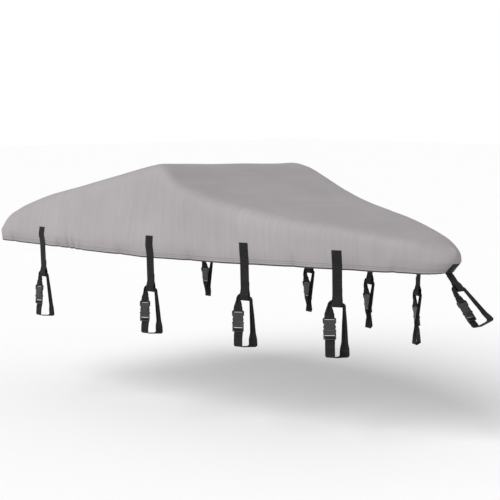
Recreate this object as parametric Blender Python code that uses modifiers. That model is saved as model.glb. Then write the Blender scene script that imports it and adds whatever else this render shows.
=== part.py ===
"""Fitted cloth cover, 4.4 m long, with nine buckled tie-down straps.

The cover is one sewn sheet: a low skirt, side panels that rise to a crease, and a top that runs
from the high crown down to the nose and down to the tail.  Nine webbing tabs are sewn to it, four
on each side and one on the nose.  The lower end of each tab is folded into an eye.  A tie-down
strap passes through the eye, and a side-release buckle closes it into a loop.

Frame: +X to the nose, +Y to the left side, +Z up, metres.  The origin is on the centre line, at
the underside of the crown.
"""

import math
from collections import namedtuple

import bmesh
import bpy
from mathutils import Matrix, Vector
from mathutils.bvhtree import BVHTree

# ---------------------------------------------------------------- driving dimensions, metres
GAP = 0.0003            # clearance between neighbouring pieces, and between folded layers
CLOTH = 0.002           # thickness of the sheet
WEB = 0.002             # thickness of the webbing
WEB_W = 0.076           # width of the webbing

CROWN_X = -2.30         # crown, measured from the tip of the nose's hem
CROWN_H = 0.710         # inner face of the crown above the hem

RIBS = 32               # ribs of half the sheet, before those at the tabs are added
RIB_CLEAR = 0.045       # ribs nearer than this to a tab's own ribs are left out

TAB_DROP = 0.235        # from the hem down to the centre of a side tab's eye
EYE_H = 0.056           # inside height of the eye
EYE_D = 0.0215          # inside depth of the eye
EYE_LAP = 0.055         # length of webbing folded back above the eye

PLEAT_DEG = 58.0        # steepness of the pleats where a strap is gathered in the eye
PLEATS = 4              # panels across the strap
TURN_R = 0.030          # radius of the strap's turn beside the eye
BEND_R = 0.012          # radius of the strap's bends at the foot of the loop

BUCKLE_W = 0.100        # socket, across
BUCKLE_T = 0.018        # socket, front to back
SOCKET_L = 0.100        # socket, along the strap
LADDER_W = 0.096        # insert, across
LADDER_L = 0.060        # insert below the socket's mouth
LADDER_T = 0.0095       # insert, front to back
BAR = 0.0070            # ladder's bars, along the strap
SOCKET_BAR = 0.0080     # socket's bar, along the strap
LADDER_SLOT = 0.0115    # slot between the ladder's bars
SLOT_W = 0.081          # slots beside those bars
SOCKET_AT = 0.078       # from the strap's turn down to the socket's top edge
WAIST_R = 0.036         # radius of the socket's hollowed sides, where the prongs are pressed
WAIST_D = 0.0125        # depth of those sides

# ---------------------------------------------------------------- the sheet
# One row for each pattern line from the nose's centre line round one side to the tail's centre
# line.  x runs back from the tip of the nose's hem, y is the half width, z is the height above
# the hem.  Each line runs hem, belt (the widest line), crease (the shoulder), ridge (centre line).
Line = namedtuple("Line", "hem_x hem_y hem_z belt_x belt_y belt_z crease_x crease_y crease_z ridge_x ridge_z")
LINES = [
    Line(0.000, 0.000, 0.012, 0.107, 0.000, 0.095, 0.088, 0.000, 0.150, 0.030, 0.196),
    Line(-0.004, 0.036, 0.010, 0.097, 0.045, 0.097, 0.076, 0.045, 0.154, 0.000, 0.203),
    Line(-0.030, 0.088, 0.005, 0.052, 0.102, 0.105, 0.030, 0.100, 0.168, -0.050, 0.220),
    Line(-0.110, 0.152, 0.001, -0.040, 0.164, 0.120, -0.058, 0.161, 0.197, -0.130, 0.246),
    Line(-0.250, 0.228, 0.004, -0.200, 0.250, 0.140, -0.205, 0.250, 0.232, -0.260, 0.274),
    Line(-0.450, 0.338, 0.007, -0.430, 0.362, 0.152, -0.430, 0.368, 0.268, -0.460, 0.306),
    Line(-0.730, 0.480, 0.011, -0.730, 0.502, 0.160, -0.730, 0.508, 0.308, -0.740, 0.341),
    Line(-1.050, 0.600, 0.013, -1.050, 0.622, 0.162, -1.050, 0.628, 0.346, -1.050, 0.379),
    Line(-1.440, 0.710, 0.009, -1.440, 0.732, 0.160, -1.440, 0.724, 0.412, -1.440, 0.447),
    Line(-1.750, 0.788, 0.008, -1.750, 0.812, 0.155, -1.750, 0.798, 0.480, -1.750, 0.518),
    Line(-2.020, 0.848, 0.007, -2.020, 0.872, 0.150, -2.020, 0.838, 0.576, -2.020, 0.602),
    Line(-2.180, 0.875, 0.005, -2.180, 0.899, 0.145, -2.180, 0.805, 0.665, -2.180, 0.674),
    Line(-2.300, 0.892, 0.004, -2.300, 0.917, 0.143, -2.300, 0.770, 0.707, -2.300, 0.710),
    Line(-2.450, 0.908, 0.005, -2.450, 0.932, 0.140, -2.450, 0.782, 0.686, -2.450, 0.697),
    Line(-2.800, 0.926, 0.005, -2.800, 0.950, 0.133, -2.800, 0.822, 0.606, -2.800, 0.629),
    Line(-3.250, 0.936, 0.006, -3.250, 0.960, 0.127, -3.250, 0.855, 0.502, -3.250, 0.538),
    Line(-3.700, 0.934, 0.007, -3.700, 0.956, 0.122, -3.700, 0.868, 0.405, -3.700, 0.452),
    Line(-4.080, 0.922, 0.002, -4.080, 0.944, 0.118, -4.070, 0.862, 0.306, -4.050, 0.385),
    Line(-4.290, 0.898, 0.000, -4.300, 0.918, 0.114, -4.260, 0.826, 0.244, -4.200, 0.358),
    Line(-4.380, 0.840, 0.000, -4.398, 0.855, 0.112, -4.350, 0.755, 0.246, -4.270, 0.350),
    Line(-4.412, 0.710, 0.000, -4.434, 0.712, 0.114, -4.385, 0.625, 0.276, -4.315, 0.344),
    Line(-4.425, 0.400, 0.000, -4.446, 0.400, 0.116, -4.398, 0.360, 0.310, -4.345, 0.342),
    Line(-4.430, 0.000, 0.000, -4.450, 0.000, 0.118, -4.403, 0.000, 0.323, -4.355, 0.341),
]

# Folds drawn in by the elastic of the hem: where they meet the hem (x from the nose's tip),
# their width along the hem, their depth and how far up the skirt they reach.
Fold = namedtuple("Fold", "x width depth reach")
FOLDS = [
    Fold(-0.30, 0.070, 0.006, 0.10),
    Fold(-0.98, 0.090, 0.007, 0.16),
    Fold(-1.88, 0.100, 0.008, 0.13),
    Fold(-2.62, 0.080, 0.006, 0.12),
    Fold(-3.14, 0.110, 0.011, 0.24),
    Fold(-3.42, 0.070, 0.007, 0.10),
    Fold(-4.12, 0.070, 0.006, 0.12),
]

# Side straps: x of the tab's centre, height of its sewn top, depth of the loop's foot below the hem.
Strap = namedtuple("Strap", "name x top foot")
STRAPS = [
    Strap("1", -3.65, 0.155, 0.600),
    Strap("2", -2.26, 0.175, 0.595),
    Strap("3", -1.38, 0.165, 0.615),
    Strap("4", -0.66, 0.145, 0.633),
]
NOSE_LOOP = 0.324        # eye to foot of the nose's loop
NOSE_SEWN = 0.100        # length of the nose's tab sewn on, up from the hem
NOSE_DROP = 0.140        # from the hem to the centre of the nose tab's eye
NOSE_DIP_DEG = 47.0      # how far below level the nose's tab points

# Colours as linear values, with roughness.
CLOTH_LOOK = (0.420, 0.395, 0.405, 1.0, 0.85)
WEB_LOOK = (0.022, 0.020, 0.020, 1.0, 0.75)
BUCKLE_LOOK = (0.016, 0.016, 0.017, 1.0, 0.38)


# ---------------------------------------------------------------- small helpers
def clear_scene():
    """Take out every object, so that the model starts from nothing."""
    for obj in list(bpy.data.objects):
        bpy.data.objects.remove(obj, do_unlink=True)


def new_collection(name, hidden=False):
    """Make a collection under the scene's own; hidden ones hold cutters."""
    coll = bpy.data.collections.new(name)
    bpy.context.scene.collection.children.link(coll)
    coll.hide_render = hidden
    return coll


def make_material(name, look):
    """A Principled material with a base colour, a roughness and no metal."""
    mat = bpy.data.materials.new(name)
    mat.use_nodes = True
    bsdf = mat.node_tree.nodes["Principled BSDF"]
    bsdf.inputs["Base Color"].default_value = look[:4]
    bsdf.inputs["Roughness"].default_value = look[4]
    bsdf.inputs["Metallic"].default_value = 0.0
    mat.diffuse_color = look[:4]
    return mat


def add_object(name, mesh, coll, mat=None):
    """Link a mesh into a collection as a named object."""
    obj = bpy.data.objects.new(name, mesh)
    coll.objects.link(obj)
    if mat is not None:
        mesh.materials.append(mat)
    return obj


def mesh_from_bmesh(name, bm):
    """Write a bmesh to a new mesh and free it."""
    mesh = bpy.data.meshes.new(name)
    bm.to_mesh(mesh)
    bm.free()
    return mesh


def grid_bmesh(rows):
    """An open sheet of quads through rows of points, all rows of the same length."""
    bm = bmesh.new()
    verts = [[bm.verts.new(p) for p in row] for row in rows]
    for i in range(len(rows) - 1):
        for j in range(len(rows[0]) - 1):
            bm.faces.new((verts[i][j], verts[i + 1][j], verts[i + 1][j + 1], verts[i][j + 1]))
    return bm


def bake(obj):
    """Give an object the mesh that its modifiers make, and drop the modifiers."""
    depsgraph = bpy.context.evaluated_depsgraph_get()
    mesh = bpy.data.meshes.new_from_object(obj.evaluated_get(depsgraph))
    obj.modifiers.clear()
    obj.data = mesh
    return obj


def smooth_step(t):
    """0 to 1 with level ends."""
    t = max(0.0, min(1.0, t))
    return t * t * (3.0 - 2.0 * t)


# ---------------------------------------------------------------- the sheet's surface
def catmull(p0, p1, p2, p3, t):
    """Catmull-Rom spline through p1 and p2."""
    return 0.5 * (2.0 * p1 + (p2 - p0) * t + (2.0 * p0 - 5.0 * p1 + 4.0 * p2 - p3) * t * t
                  + (3.0 * p1 - p0 - 3.0 * p2 + p3) * t ** 3)


def mirrored(line):
    """The same pattern line on the other side."""
    return line._replace(hem_y=-line.hem_y, belt_y=-line.belt_y, crease_y=-line.crease_y)


def line_at(p):
    """Pattern line at a fractional row, from 0 at the nose to the last row at the tail."""
    i = min(int(p), len(LINES) - 2)
    before = LINES[i - 1] if i > 0 else mirrored(LINES[1])
    after = LINES[i + 2] if i + 2 < len(LINES) else mirrored(LINES[-2])
    t = p - i
    return Line(*(catmull(a, b, c, d, t) for a, b, c, d in zip(before, LINES[i], LINES[i + 1], after)))


def hem_point(p):
    """Point of the hem at a fractional row."""
    line = line_at(p)
    return Vector((line.hem_x, line.hem_y, line.hem_z))


def hem_table(steps=20):
    """Hem length from the nose against fractional row."""
    table = [(0.0, 0.0)]
    last = hem_point(0.0)
    for k in range(1, (len(LINES) - 1) * steps + 1):
        p = k / steps
        point = hem_point(p)
        table.append((table[-1][0] + (point - last).length, p))
        last = point
    return table


HEM = hem_table()
HEM_LENGTH = HEM[-1][0]


def row_at_length(length):
    """Fractional row at a length along the hem."""
    for (s0, p0), (s1, p1) in zip(HEM, HEM[1:]):
        if s0 <= length <= s1:
            return p0 + (p1 - p0) * (length - s0) / (s1 - s0)
    return HEM[-1][1]


def length_at_x(x):
    """Hem length where the hem passes x, on the side."""
    for (s0, p0), (s1, p1) in zip(HEM, HEM[1:]):
        x0 = hem_point(p0).x
        x1 = hem_point(p1).x
        if x1 <= x <= x0:
            return s0 + (s1 - s0) * (x0 - x) / max(x0 - x1, 1e-9)
    return HEM_LENGTH


def arc(a, through, b, steps):
    """Points of a parabola from a to b that passes the middle point, ends included."""
    ctrl = 2.0 * through - 0.5 * (a + b)
    points = []
    for k in range(steps + 1):
        t = k / steps
        points.append((1 - t) ** 2 * a + 2 * t * (1 - t) * ctrl + t * t * b)
    return points


def rib_points(p):
    """Points of one pattern line from the hem up to the ridge, in the row's own frame."""
    line = line_at(p)
    hem = Vector((line.hem_x, line.hem_y, line.hem_z))
    belt = Vector((line.belt_x, line.belt_y, line.belt_z))
    crease = Vector((line.crease_x, line.crease_y, line.crease_z))
    ridge = Vector((line.ridge_x, 0.0, line.ridge_z))
    low = belt.lerp(hem, 0.30)
    over = belt.lerp(crease, 0.16)
    under = crease.lerp(belt, 0.20)
    run = (ridge - crease).length
    inner = crease.lerp(ridge, min(0.35, 0.10 / max(run, 1e-6)))
    points = [hem, hem.lerp(low, 0.55)]
    points += arc(low, belt, over, 2)
    points += [over.lerp(under, 0.36), over.lerp(under, 0.70)]
    points += arc(under, crease, inner, 2)
    for t in (0.32, 0.66):
        q = inner.lerp(ridge, t)
        q.z = inner.z + (ridge.z - inner.z) * (1.0 - (1.0 - t) ** 2)
        points.append(q)
    points.append(ridge)
    return points


TAB_LENGTHS = [length_at_x(s.x) for s in STRAPS]
FOLD_LENGTHS = [length_at_x(f.x) for f in FOLDS]


def rib_lengths():
    """Hem lengths of the ribs: even ones, those at each tab's edges, and those at each fold."""
    fixed = []
    for centre in TAB_LENGTHS:
        fixed += [centre - 0.5 * WEB_W - 0.004, centre, centre + 0.5 * WEB_W + 0.004]
    for fold, s in zip(FOLDS, FOLD_LENGTHS):
        fixed += [s - 0.5 * fold.width, s, s + 0.5 * fold.width]
    fixed += [0.0, 0.5 * WEB_W + 0.002, HEM_LENGTH]
    even = [HEM_LENGTH * k / (RIBS - 1) for k in range(RIBS)]
    even = [s for s in even if min(abs(s - f) for f in fixed) > RIB_CLEAR]
    return sorted(fixed + even)


def fold_depth(length, height):
    """How far the skirt is drawn in at this place."""
    keep = 1.0
    for centre in TAB_LENGTHS:
        keep = min(keep, smooth_step((abs(length - centre) - 0.5 * WEB_W - 0.004) / 0.05))
    depth = 0.0
    for fold, s in zip(FOLDS, FOLD_LENGTHS):
        across = (length - s) / (0.5 * fold.width)
        up = max(0.0, height) / fold.reach
        depth += fold.depth * math.exp(-across * across) * (1.0 - smooth_step(up))
    broad = 0.0035 * math.sin(9.1 * length + 0.7) + 0.0025 * math.sin(15.7 * length + 2.1)
    broad *= smooth_step(length / 0.3) * (1.0 - smooth_step(height / 0.14))
    return keep * (depth + broad)


def sheet_rows():
    """Inner face of half the sheet, one row of points for each rib."""
    lengths = rib_lengths()
    rows = [rib_points(row_at_length(s)) for s in lengths]
    drawn = [[p.copy() for p in row] for row in rows]
    for i in range(1, len(rows) - 1):
        for j in range(len(rows[i]) - 1):
            along = rows[i + 1][j] - rows[i - 1][j]
            up = rows[i][min(j + 1, len(rows[i]) - 1)] - rows[i][max(j - 1, 0)]
            out = up.cross(along).normalized()
            if out.dot(Vector((0.0, rows[i][j].y, 0.0)) + Vector((rows[i][j].x + 2.3, 0, 0)) * 0.2) < 0.0:
                out.negate()
            drawn[i][j] -= out * fold_depth(lengths[i], rows[i][j].z)
    origin = Vector((CROWN_X, 0.0, CROWN_H))
    return [[p - origin for p in row] for row in drawn]


def build_sheet(coll, mat):
    """The cover's sheet: half lofted from the pattern lines, mirrored, then given its thickness."""
    bm = grid_bmesh(sheet_rows())
    bmesh.ops.recalc_face_normals(bm, faces=bm.faces)
    top = max(bm.faces, key=lambda f: f.calc_center_median().z)
    if top.normal.z < 0.0:
        bmesh.ops.reverse_faces(bm, faces=bm.faces)
    for face in bm.faces:
        face.smooth = True
    obj = add_object("cover_sheet", mesh_from_bmesh("cover_sheet", bm), coll, mat)
    mirror = obj.modifiers.new("left_half", "MIRROR")
    mirror.use_axis = (False, True, False)
    mirror.use_mirror_merge = True
    mirror.merge_threshold = 0.0001
    solid = obj.modifiers.new("cloth", "SOLIDIFY")
    solid.thickness = CLOTH
    solid.offset = 1.0
    solid.use_even_offset = True
    return obj


def outer_surface(obj):
    """Search tree of the sheet's outer face, which the tabs lie on."""
    depsgraph = bpy.context.evaluated_depsgraph_get()
    evaluated = obj.evaluated_get(depsgraph)
    mesh = evaluated.to_mesh()
    mesh.calc_loop_triangles()
    verts = [v.co.copy() for v in mesh.vertices]
    faces = [tuple(t.vertices) for t in mesh.loop_triangles]
    tree = BVHTree.FromPolygons(verts, faces)
    evaluated.to_mesh_clear()
    return tree


# ---------------------------------------------------------------- ribbons
# A ribbon is a list of frames: centre, direction across, outward direction, and how steeply the
# ribbon is pleated there in degrees.
Frame = namedtuple("Frame", "centre across out pleat")


def frame_row(frame, width, panels):
    """Points across a ribbon at one frame; pleats shorten it and keep its length of cloth."""
    angle = math.radians(frame.pleat)
    step = width / panels
    points = []
    for k in range(panels + 1):
        sway = (k - panels / 2.0) * step * math.cos(angle)
        rise = (0.5 if k % 2 else -0.5) * step * math.sin(angle)
        points.append(frame.centre + frame.across * sway + frame.out * rise)
    return points


def solid_ribbon(name, rows, coll, mat, tidy=True):
    """A strip through rows of points, made as thick as the webbing about its middle."""
    bm = grid_bmesh(rows)
    bmesh.ops.recalc_face_normals(bm, faces=bm.faces)
    obj = add_object(name, mesh_from_bmesh(name, bm), coll, mat)
    solid = obj.modifiers.new("webbing", "SOLIDIFY")
    solid.thickness = WEB
    solid.offset = 0.0
    solid.use_even_offset = True
    solid.thickness_clamp = 0.0
    if tidy:
        plane = obj.modifiers.new("flat_parts", "DECIMATE")
        plane.decimate_type = "DISSOLVE"
        plane.angle_limit = math.radians(0.2)
    return obj


# ---------------------------------------------------------------- places of the straps
# Place: the eye's centre, the tab's across, outward and upward directions, and the loop's length.
Place = namedtuple("Place", "name eye across out up loop swing")


def side_place(strap):
    """Place of a side strap on the right side, which is -Y."""
    centre = length_at_x(strap.x)
    ahead = hem_point(row_at_length(centre - 0.5 * WEB_W))
    behind = hem_point(row_at_length(centre + 0.5 * WEB_W))
    middle = 0.5 * (ahead + behind)
    across = Vector((ahead.x - behind.x, -(ahead.y - behind.y), 0.0)).normalized()
    out = Vector((across.y, -across.x, 0.0))
    eye = Vector((middle.x, -middle.y, -TAB_DROP)) - Vector((CROWN_X, 0.0, CROWN_H))
    eye += out * 0.001
    return Place(strap.name, eye, across, out, Vector((0.0, 0.0, 1.0)), strap.foot - TAB_DROP, 1.0)


def nose_place():
    """Place of the nose's strap, which points forward and down."""
    dip = math.radians(NOSE_DIP_DEG)
    up = Vector((-math.cos(dip), 0.0, math.sin(dip)))
    out = Vector((math.sin(dip), 0.0, math.cos(dip)))
    hem = hem_point(0.0) - Vector((CROWN_X, 0.0, CROWN_H))
    eye = hem - up * NOSE_DROP
    return Place("nose", eye, Vector((0.0, 1.0, 0.0)), out, up, NOSE_LOOP, -1.0)


# ---------------------------------------------------------------- sewn tabs
def eye_frames(place):
    """The tab's free end: round the eye and back up behind itself."""
    half = 0.5 * EYE_D + 0.5 * WEB
    drop = 0.5 * EYE_H
    profile = [
        (0.0005, drop + 0.030), (half * 0.55, drop + 0.010), (half, drop - 0.008),
        (half, -drop + half * 0.9), (half * 0.86, -drop + half * 0.35),
        (half * 0.40, -drop), (-half * 0.40, -drop), (-half * 0.86, -drop + half * 0.35),
        (-half, -drop + half * 0.9), (-half, drop - 0.008),
        (-half * 0.65, drop + 0.010), (-(WEB + GAP) + 0.0005, drop + 0.030),
        (-(WEB + GAP) + 0.0005, drop + 0.030 + EYE_LAP),
    ]
    return [place.eye + place.out * b + place.up * c for b, c in profile]


def tab_rows(centres, across, width=WEB_W, panels=2):
    """Rows of points across the tab at each centre."""
    rows = []
    for c in centres:
        rows.append([c + across * width * (k / panels - 0.5) for k in range(panels + 1)])
    return rows


def side_tab(place, strap, tree, coll, mat):
    """A webbing tab sewn on a side, hanging from the hem with an eye at its foot."""
    lift = GAP + 0.0005 + 0.5 * WEB
    levels = [p.z for p in rib_points(row_at_length(length_at_x(strap.x)))]
    hem_z = levels[0] - CROWN_H
    heights = [strap.top] + [z - levels[0] for z in reversed(levels[1:]) if z - levels[0] < strap.top - 0.012]
    heights.append(0.006)
    rows = []
    for height in heights:
        row = []
        for k in range(3):
            foot = place.eye + place.across * WEB_W * (k / 2 - 0.5)
            seek = Vector((foot.x, foot.y, hem_z + height)) + place.out * 0.5
            hit = tree.ray_cast(seek, -place.out)
            row.append(hit[0] + place.out * lift)
        rows.append(row)
    low = rows[-1]
    eye = eye_frames(place)
    for t in (0.35, 1.0):
        row = []
        for k in range(3):
            end = eye[0] + place.across * WEB_W * (k / 2 - 0.5)
            row.append(low[k].lerp(end, t))
        rows.append(row)
    rows += tab_rows(eye[1:], place.across)
    return solid_ribbon("sewn_tab_" + place.name, rows, coll, mat)


def nose_tab(place, tree, coll, mat):
    """The nose's tab: sewn under the nose, it turns at the hem and points forward and down."""
    lift = GAP + 0.0005 + 0.5 * WEB
    hem = hem_point(0.0) - Vector((CROWN_X, 0.0, CROWN_H))
    belt = Vector((LINES[0].belt_x, 0.0, LINES[0].belt_z)) - Vector((CROWN_X, 0.0, CROWN_H))
    slope = (belt - hem).normalized()
    off = Vector((slope.z, 0.0, -slope.x))
    rows = []
    low = 0.70 * (belt - hem).length
    for reach in (NOSE_SEWN, low, 0.55 * low, 0.30 * low):
        row = []
        for k in range(5):
            y = WEB_W * (k / 4 - 0.5)
            seek = hem + slope * reach + Vector((0.0, y, 0.0)) + off * 0.3
            hit = tree.ray_cast(seek, -off)
            row.append(hit[0] + off * lift)
        rows.append(row)
    eye = eye_frames(place)
    turn = hem + slope * 0.004 + off * (lift + 0.0015)
    for centre, keep in ((turn + slope * 0.002, 0.5), (turn - slope * 0.004 + off * 0.004, 0.2),
                         (turn - slope * 0.002 + off * 0.012 - place.up * 0.002, 0.0)):
        row = []
        for k in range(5):
            y = WEB_W * (k / 4 - 0.5)
            arch = (rows[3][k].x - rows[3][2].x) * keep
            row.append(centre + Vector((arch, y, 0.0)))
        rows.append(row)
    rows += tab_rows(eye, place.across, panels=4)
    return solid_ribbon("sewn_tab_nose", rows, coll, mat)


# ---------------------------------------------------------------- tie-down straps
def loop_frames(place):
    """Key places of a tie-down: its turn beside the eye, the front leg's line and the foot."""
    side = 0.062
    top_front = Vector((-side, 0.0, -TURN_R))
    foot_front = Vector((-0.042, 0.031 * place.swing, -(place.loop - BEND_R)))
    top_rear = Vector((side, 0.0, -TURN_R))
    foot_rear = Vector((0.044, -0.046 * place.swing, -(place.loop - BEND_R)))
    return top_front, foot_front, top_rear, foot_rear


def to_world(place, v):
    """From across/out/up coordinates about the eye to the model's frame."""
    return place.eye + place.across * v.x + place.out * v.y + place.up * v.z


def turn_dir(place, v):
    """A direction from across/out/up coordinates to the model's frame."""
    return place.across * v.x + place.out * v.y + place.up * v.z


def leg_axes(place):
    """Origin and axes of the front leg: across, out and up the leg."""
    top, foot, _, _ = loop_frames(place)
    up = (top - foot).normalized()
    across = (Vector((1.0, 0.0, 0.0)) - up * up.x).normalized()
    out = up.cross(across)
    if out.y < 0.0:
        out.negate()
    return top, across, out, up


# Turns of the strap round a bar, as (distance below the bar's centre, depth outward), for a bar
# half as tall as zero; the bar's own half height is added to the distance.
CORNER = ((0.0001, 0.0067), (0.0023, 0.0047))


def tie_down(place, coll, mat):
    """The strap from the socket's bar up through the eye, round the foot and up to the insert."""
    x_axis = Vector((1.0, 0.0, 0.0))
    y_axis = Vector((0.0, 1.0, 0.0))
    top_f, foot_f, top_r, foot_r = loop_frames(place)
    origin, across, out, up = leg_axes(place)
    (near_z, near_b), (far_z, far_b) = CORNER

    def leg(distance, depth, pleat=0.0):
        return Frame(origin - up * distance + out * depth, across, out, pleat)

    # The end sewn round the socket's bar, from its tip down the back and up the front.
    bar = SOCKET_AT + 0.5 * SOCKET_BAR
    half = 0.5 * SOCKET_BAR
    lap = -(WEB + GAP)
    frames = [
        leg(bar - 0.034, lap), leg(bar - 0.024, lap), leg(bar - half + 0.0001, -near_b),
        leg(bar + half + near_z, -near_b), leg(bar + half + far_z, -far_b),
        leg(bar + half + far_z, far_b), leg(bar + half + near_z, near_b),
        leg(bar - half + 0.0001, near_b), leg(bar - 0.022, 0.0),
    ]
    # Gathered from full width into the eye, turning from down to across and down again.
    frames += [leg(0.044, 0.0), leg(0.028, 0.0, 22.0), leg(0.013, 0.0, 43.0), leg(0.000, 0.0, PLEAT_DEG)]
    hub = Vector((top_f.x + TURN_R, 0.0, -TURN_R))
    for degrees in (45.0, 90.0):
        a = math.radians(degrees)
        centre = hub + Vector((-math.cos(a), 0.0, math.sin(a))) * TURN_R
        frames.append(Frame(centre, Vector((math.cos(a), 0.0, -math.sin(a))), y_axis, PLEAT_DEG))
    hub = Vector((top_r.x - TURN_R, 0.0, -TURN_R))
    for degrees in (90.0, 45.0, 0.0):
        a = math.radians(degrees)
        centre = hub + Vector((math.cos(a), 0.0, math.sin(a))) * TURN_R
        frames.append(Frame(centre, Vector((-math.cos(a), 0.0, -math.sin(a))), y_axis, PLEAT_DEG))
    # Down the rear leg, opening slowly to full width.
    rear_up = (top_r - foot_r).normalized()
    rear_side = (x_axis - rear_up * rear_up.x).normalized()
    rear_out = rear_up.cross(rear_side)
    if rear_out.y < 0.0:
        rear_out.negate()
    for distance, pleat in ((0.030, 54.0), (0.085, 46.0), (0.150, 35.0), (0.215, 20.0)):
        frames.append(Frame(top_r - rear_up * distance, -rear_side, rear_out, pleat))
    rows = [frame_row(f, WEB_W, PLEATS) for f in frames]
    # Round the foot: down the rear leg, under, and up to the front leg.
    for foot, other, back in ((foot_r, foot_f, False), (foot_f, foot_r, True)):
        inward = 1.0 if other.y > foot.y else -1.0
        for k in range(4):
            step = (3 - k) if back else k
            a = math.radians(30.0 * step)
            centre = Vector((foot.x + (other.x - foot.x) * 0.04 * step,
                             foot.y + inward * BEND_R * (1.0 - math.cos(a)),
                             -place.loop + BEND_R * (1.0 - math.sin(a))))
            rows.append([centre - x_axis * WEB_W * (j / PLEATS - 0.5) for j in range(PLEATS + 1)])
    # Up the front leg behind the lower bar, over the middle bar from the front, down the back.
    low = SOCKET_AT + SOCKET_L + LADDER_L - 0.5 * BAR
    mid = low - BAR - LADDER_SLOT
    half = 0.5 * BAR
    tail = -(near_b + WEB + GAP)
    rise = min(0.026, place.loop - TURN_R - BEND_R - low - 0.022)
    ladder = [
        leg(low + rise, -0.0010), leg(low + half, -near_b), leg(low - half - 0.0005, -near_b),
        leg(mid + half + 0.0005, near_b), leg(mid - half - near_z, near_b),
        leg(mid - half - far_z, far_b), leg(mid - half - far_z, -far_b),
        leg(mid - half - near_z, -near_b), leg(mid + half + 0.0020, tail), leg(low + half, tail),
        leg(low + rise + 0.002, -0.0034 - GAP), leg(low + rise + 0.018, -0.0034 - GAP),
    ]
    rows += [list(reversed(frame_row(f, WEB_W, PLEATS))) for f in ladder]
    world = [[to_world(place, p) for p in row] for row in rows]
    return solid_ribbon("tie_down_" + place.name, world, coll, mat)


# ---------------------------------------------------------------- buckles
def box(bm, size, centre):
    """Add a box to a bmesh."""
    made = bmesh.ops.create_cube(bm, size=1.0)
    bmesh.ops.scale(bm, vec=size, verts=made["verts"])
    bmesh.ops.translate(bm, vec=centre, verts=made["verts"])


def cutter(name, size, centre, coll, matrix):
    """A box that cuts; it is left out of the model."""
    bm = bmesh.new()
    box(bm, size, centre)
    obj = add_object(name, mesh_from_bmesh(name, bm), coll)
    obj.matrix_world = matrix
    obj.hide_render = True
    obj.display_type = "WIRE"
    return obj


def cut(obj, tool):
    """Take a cutter away from an object."""
    mod = obj.modifiers.new("cut_" + tool.name, "BOOLEAN")
    mod.operation = "DIFFERENCE"
    mod.solver = "EXACT"
    mod.object = tool


def leg_matrix(place):
    """Matrix of the front leg: x across, y inward, z up the leg, origin at the strap's turn."""
    origin, across, out, up = leg_axes(place)
    a = turn_dir(place, across)
    b = -turn_dir(place, out)
    c = turn_dir(place, up)
    o = to_world(place, origin)
    return Matrix(((a.x, b.x, c.x, o.x), (a.y, b.y, c.y, o.y), (a.z, b.z, c.z, o.z), (0, 0, 0, 1)))


def buckle_socket(place, coll, cutters, mat):
    """The buckle's socket: a waisted shell with a strap bar and a pocket for the insert."""
    matrix = leg_matrix(place)
    half, top, low = 0.5 * BUCKLE_W, -SOCKET_AT, -(SOCKET_AT + SOCKET_L)
    waist_z = -(SOCKET_AT + 0.064)
    outline = [(half - 0.009, top), (half - 0.0026, top - 0.0026), (half, top - 0.009)]
    reach = math.acos(1.0 - WAIST_D / WAIST_R)
    for k in range(9):
        a = reach * (1.0 - k / 4.0)
        outline.append((half - WAIST_D + WAIST_R * (1.0 - math.cos(a)), waist_z + WAIST_R * math.sin(a)))
    outline += [(half, low + 0.005), (half - 0.0015, low + 0.0015), (half - 0.005, low)]
    outline += [(-x, z) for x, z in reversed(outline)]
    bm = bmesh.new()
    ring = [bm.verts.new((x, -0.5 * BUCKLE_T, z)) for x, z in outline]
    face = bm.faces.new(ring)
    made = bmesh.ops.extrude_face_region(bm, geom=[face])["geom"]
    moved = [v for v in made if isinstance(v, bmesh.types.BMVert)]
    bmesh.ops.translate(bm, vec=(0.0, BUCKLE_T, 0.0), verts=moved)
    bmesh.ops.recalc_face_normals(bm, faces=bm.faces)
    name = "buckle_socket_" + place.name
    obj = add_object(name, mesh_from_bmesh(name, bm), coll, mat)
    obj.matrix_world = matrix
    slot_l = 0.0110
    recess_l = SOCKET_BAR + slot_l + 0.002
    recess_z = -(SOCKET_AT - 0.002 + 0.5 * recess_l)
    recess_y = 0.25 * LADDER_T + 0.25 * BUCKLE_T + 0.0025
    recess_t = 0.5 * BUCKLE_T - 0.5 * LADDER_T + 0.005
    pocket_l = SOCKET_L - SOCKET_BAR - slot_l - 0.010
    pocket_z = -(SOCKET_AT + SOCKET_L - 0.5 * pocket_l + 0.0005)
    cuts = [
        ("slot", (SLOT_W, 0.05, slot_l), (0.0, 0.0, -(SOCKET_AT + SOCKET_BAR + 0.5 * slot_l))),
        ("front", (SLOT_W, recess_t, recess_l), (0.0, -recess_y, recess_z)),
        ("back", (SLOT_W, recess_t, recess_l), (0.0, recess_y, recess_z)),
        ("pocket", (0.084, LADDER_T + 0.0012, pocket_l + 0.001), (0.0, 0.0, pocket_z)),
    ]
    for label, size, centre in cuts:
        cut(obj, cutter(label + "_" + place.name, size, centre, cutters, matrix))
    return obj


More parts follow.
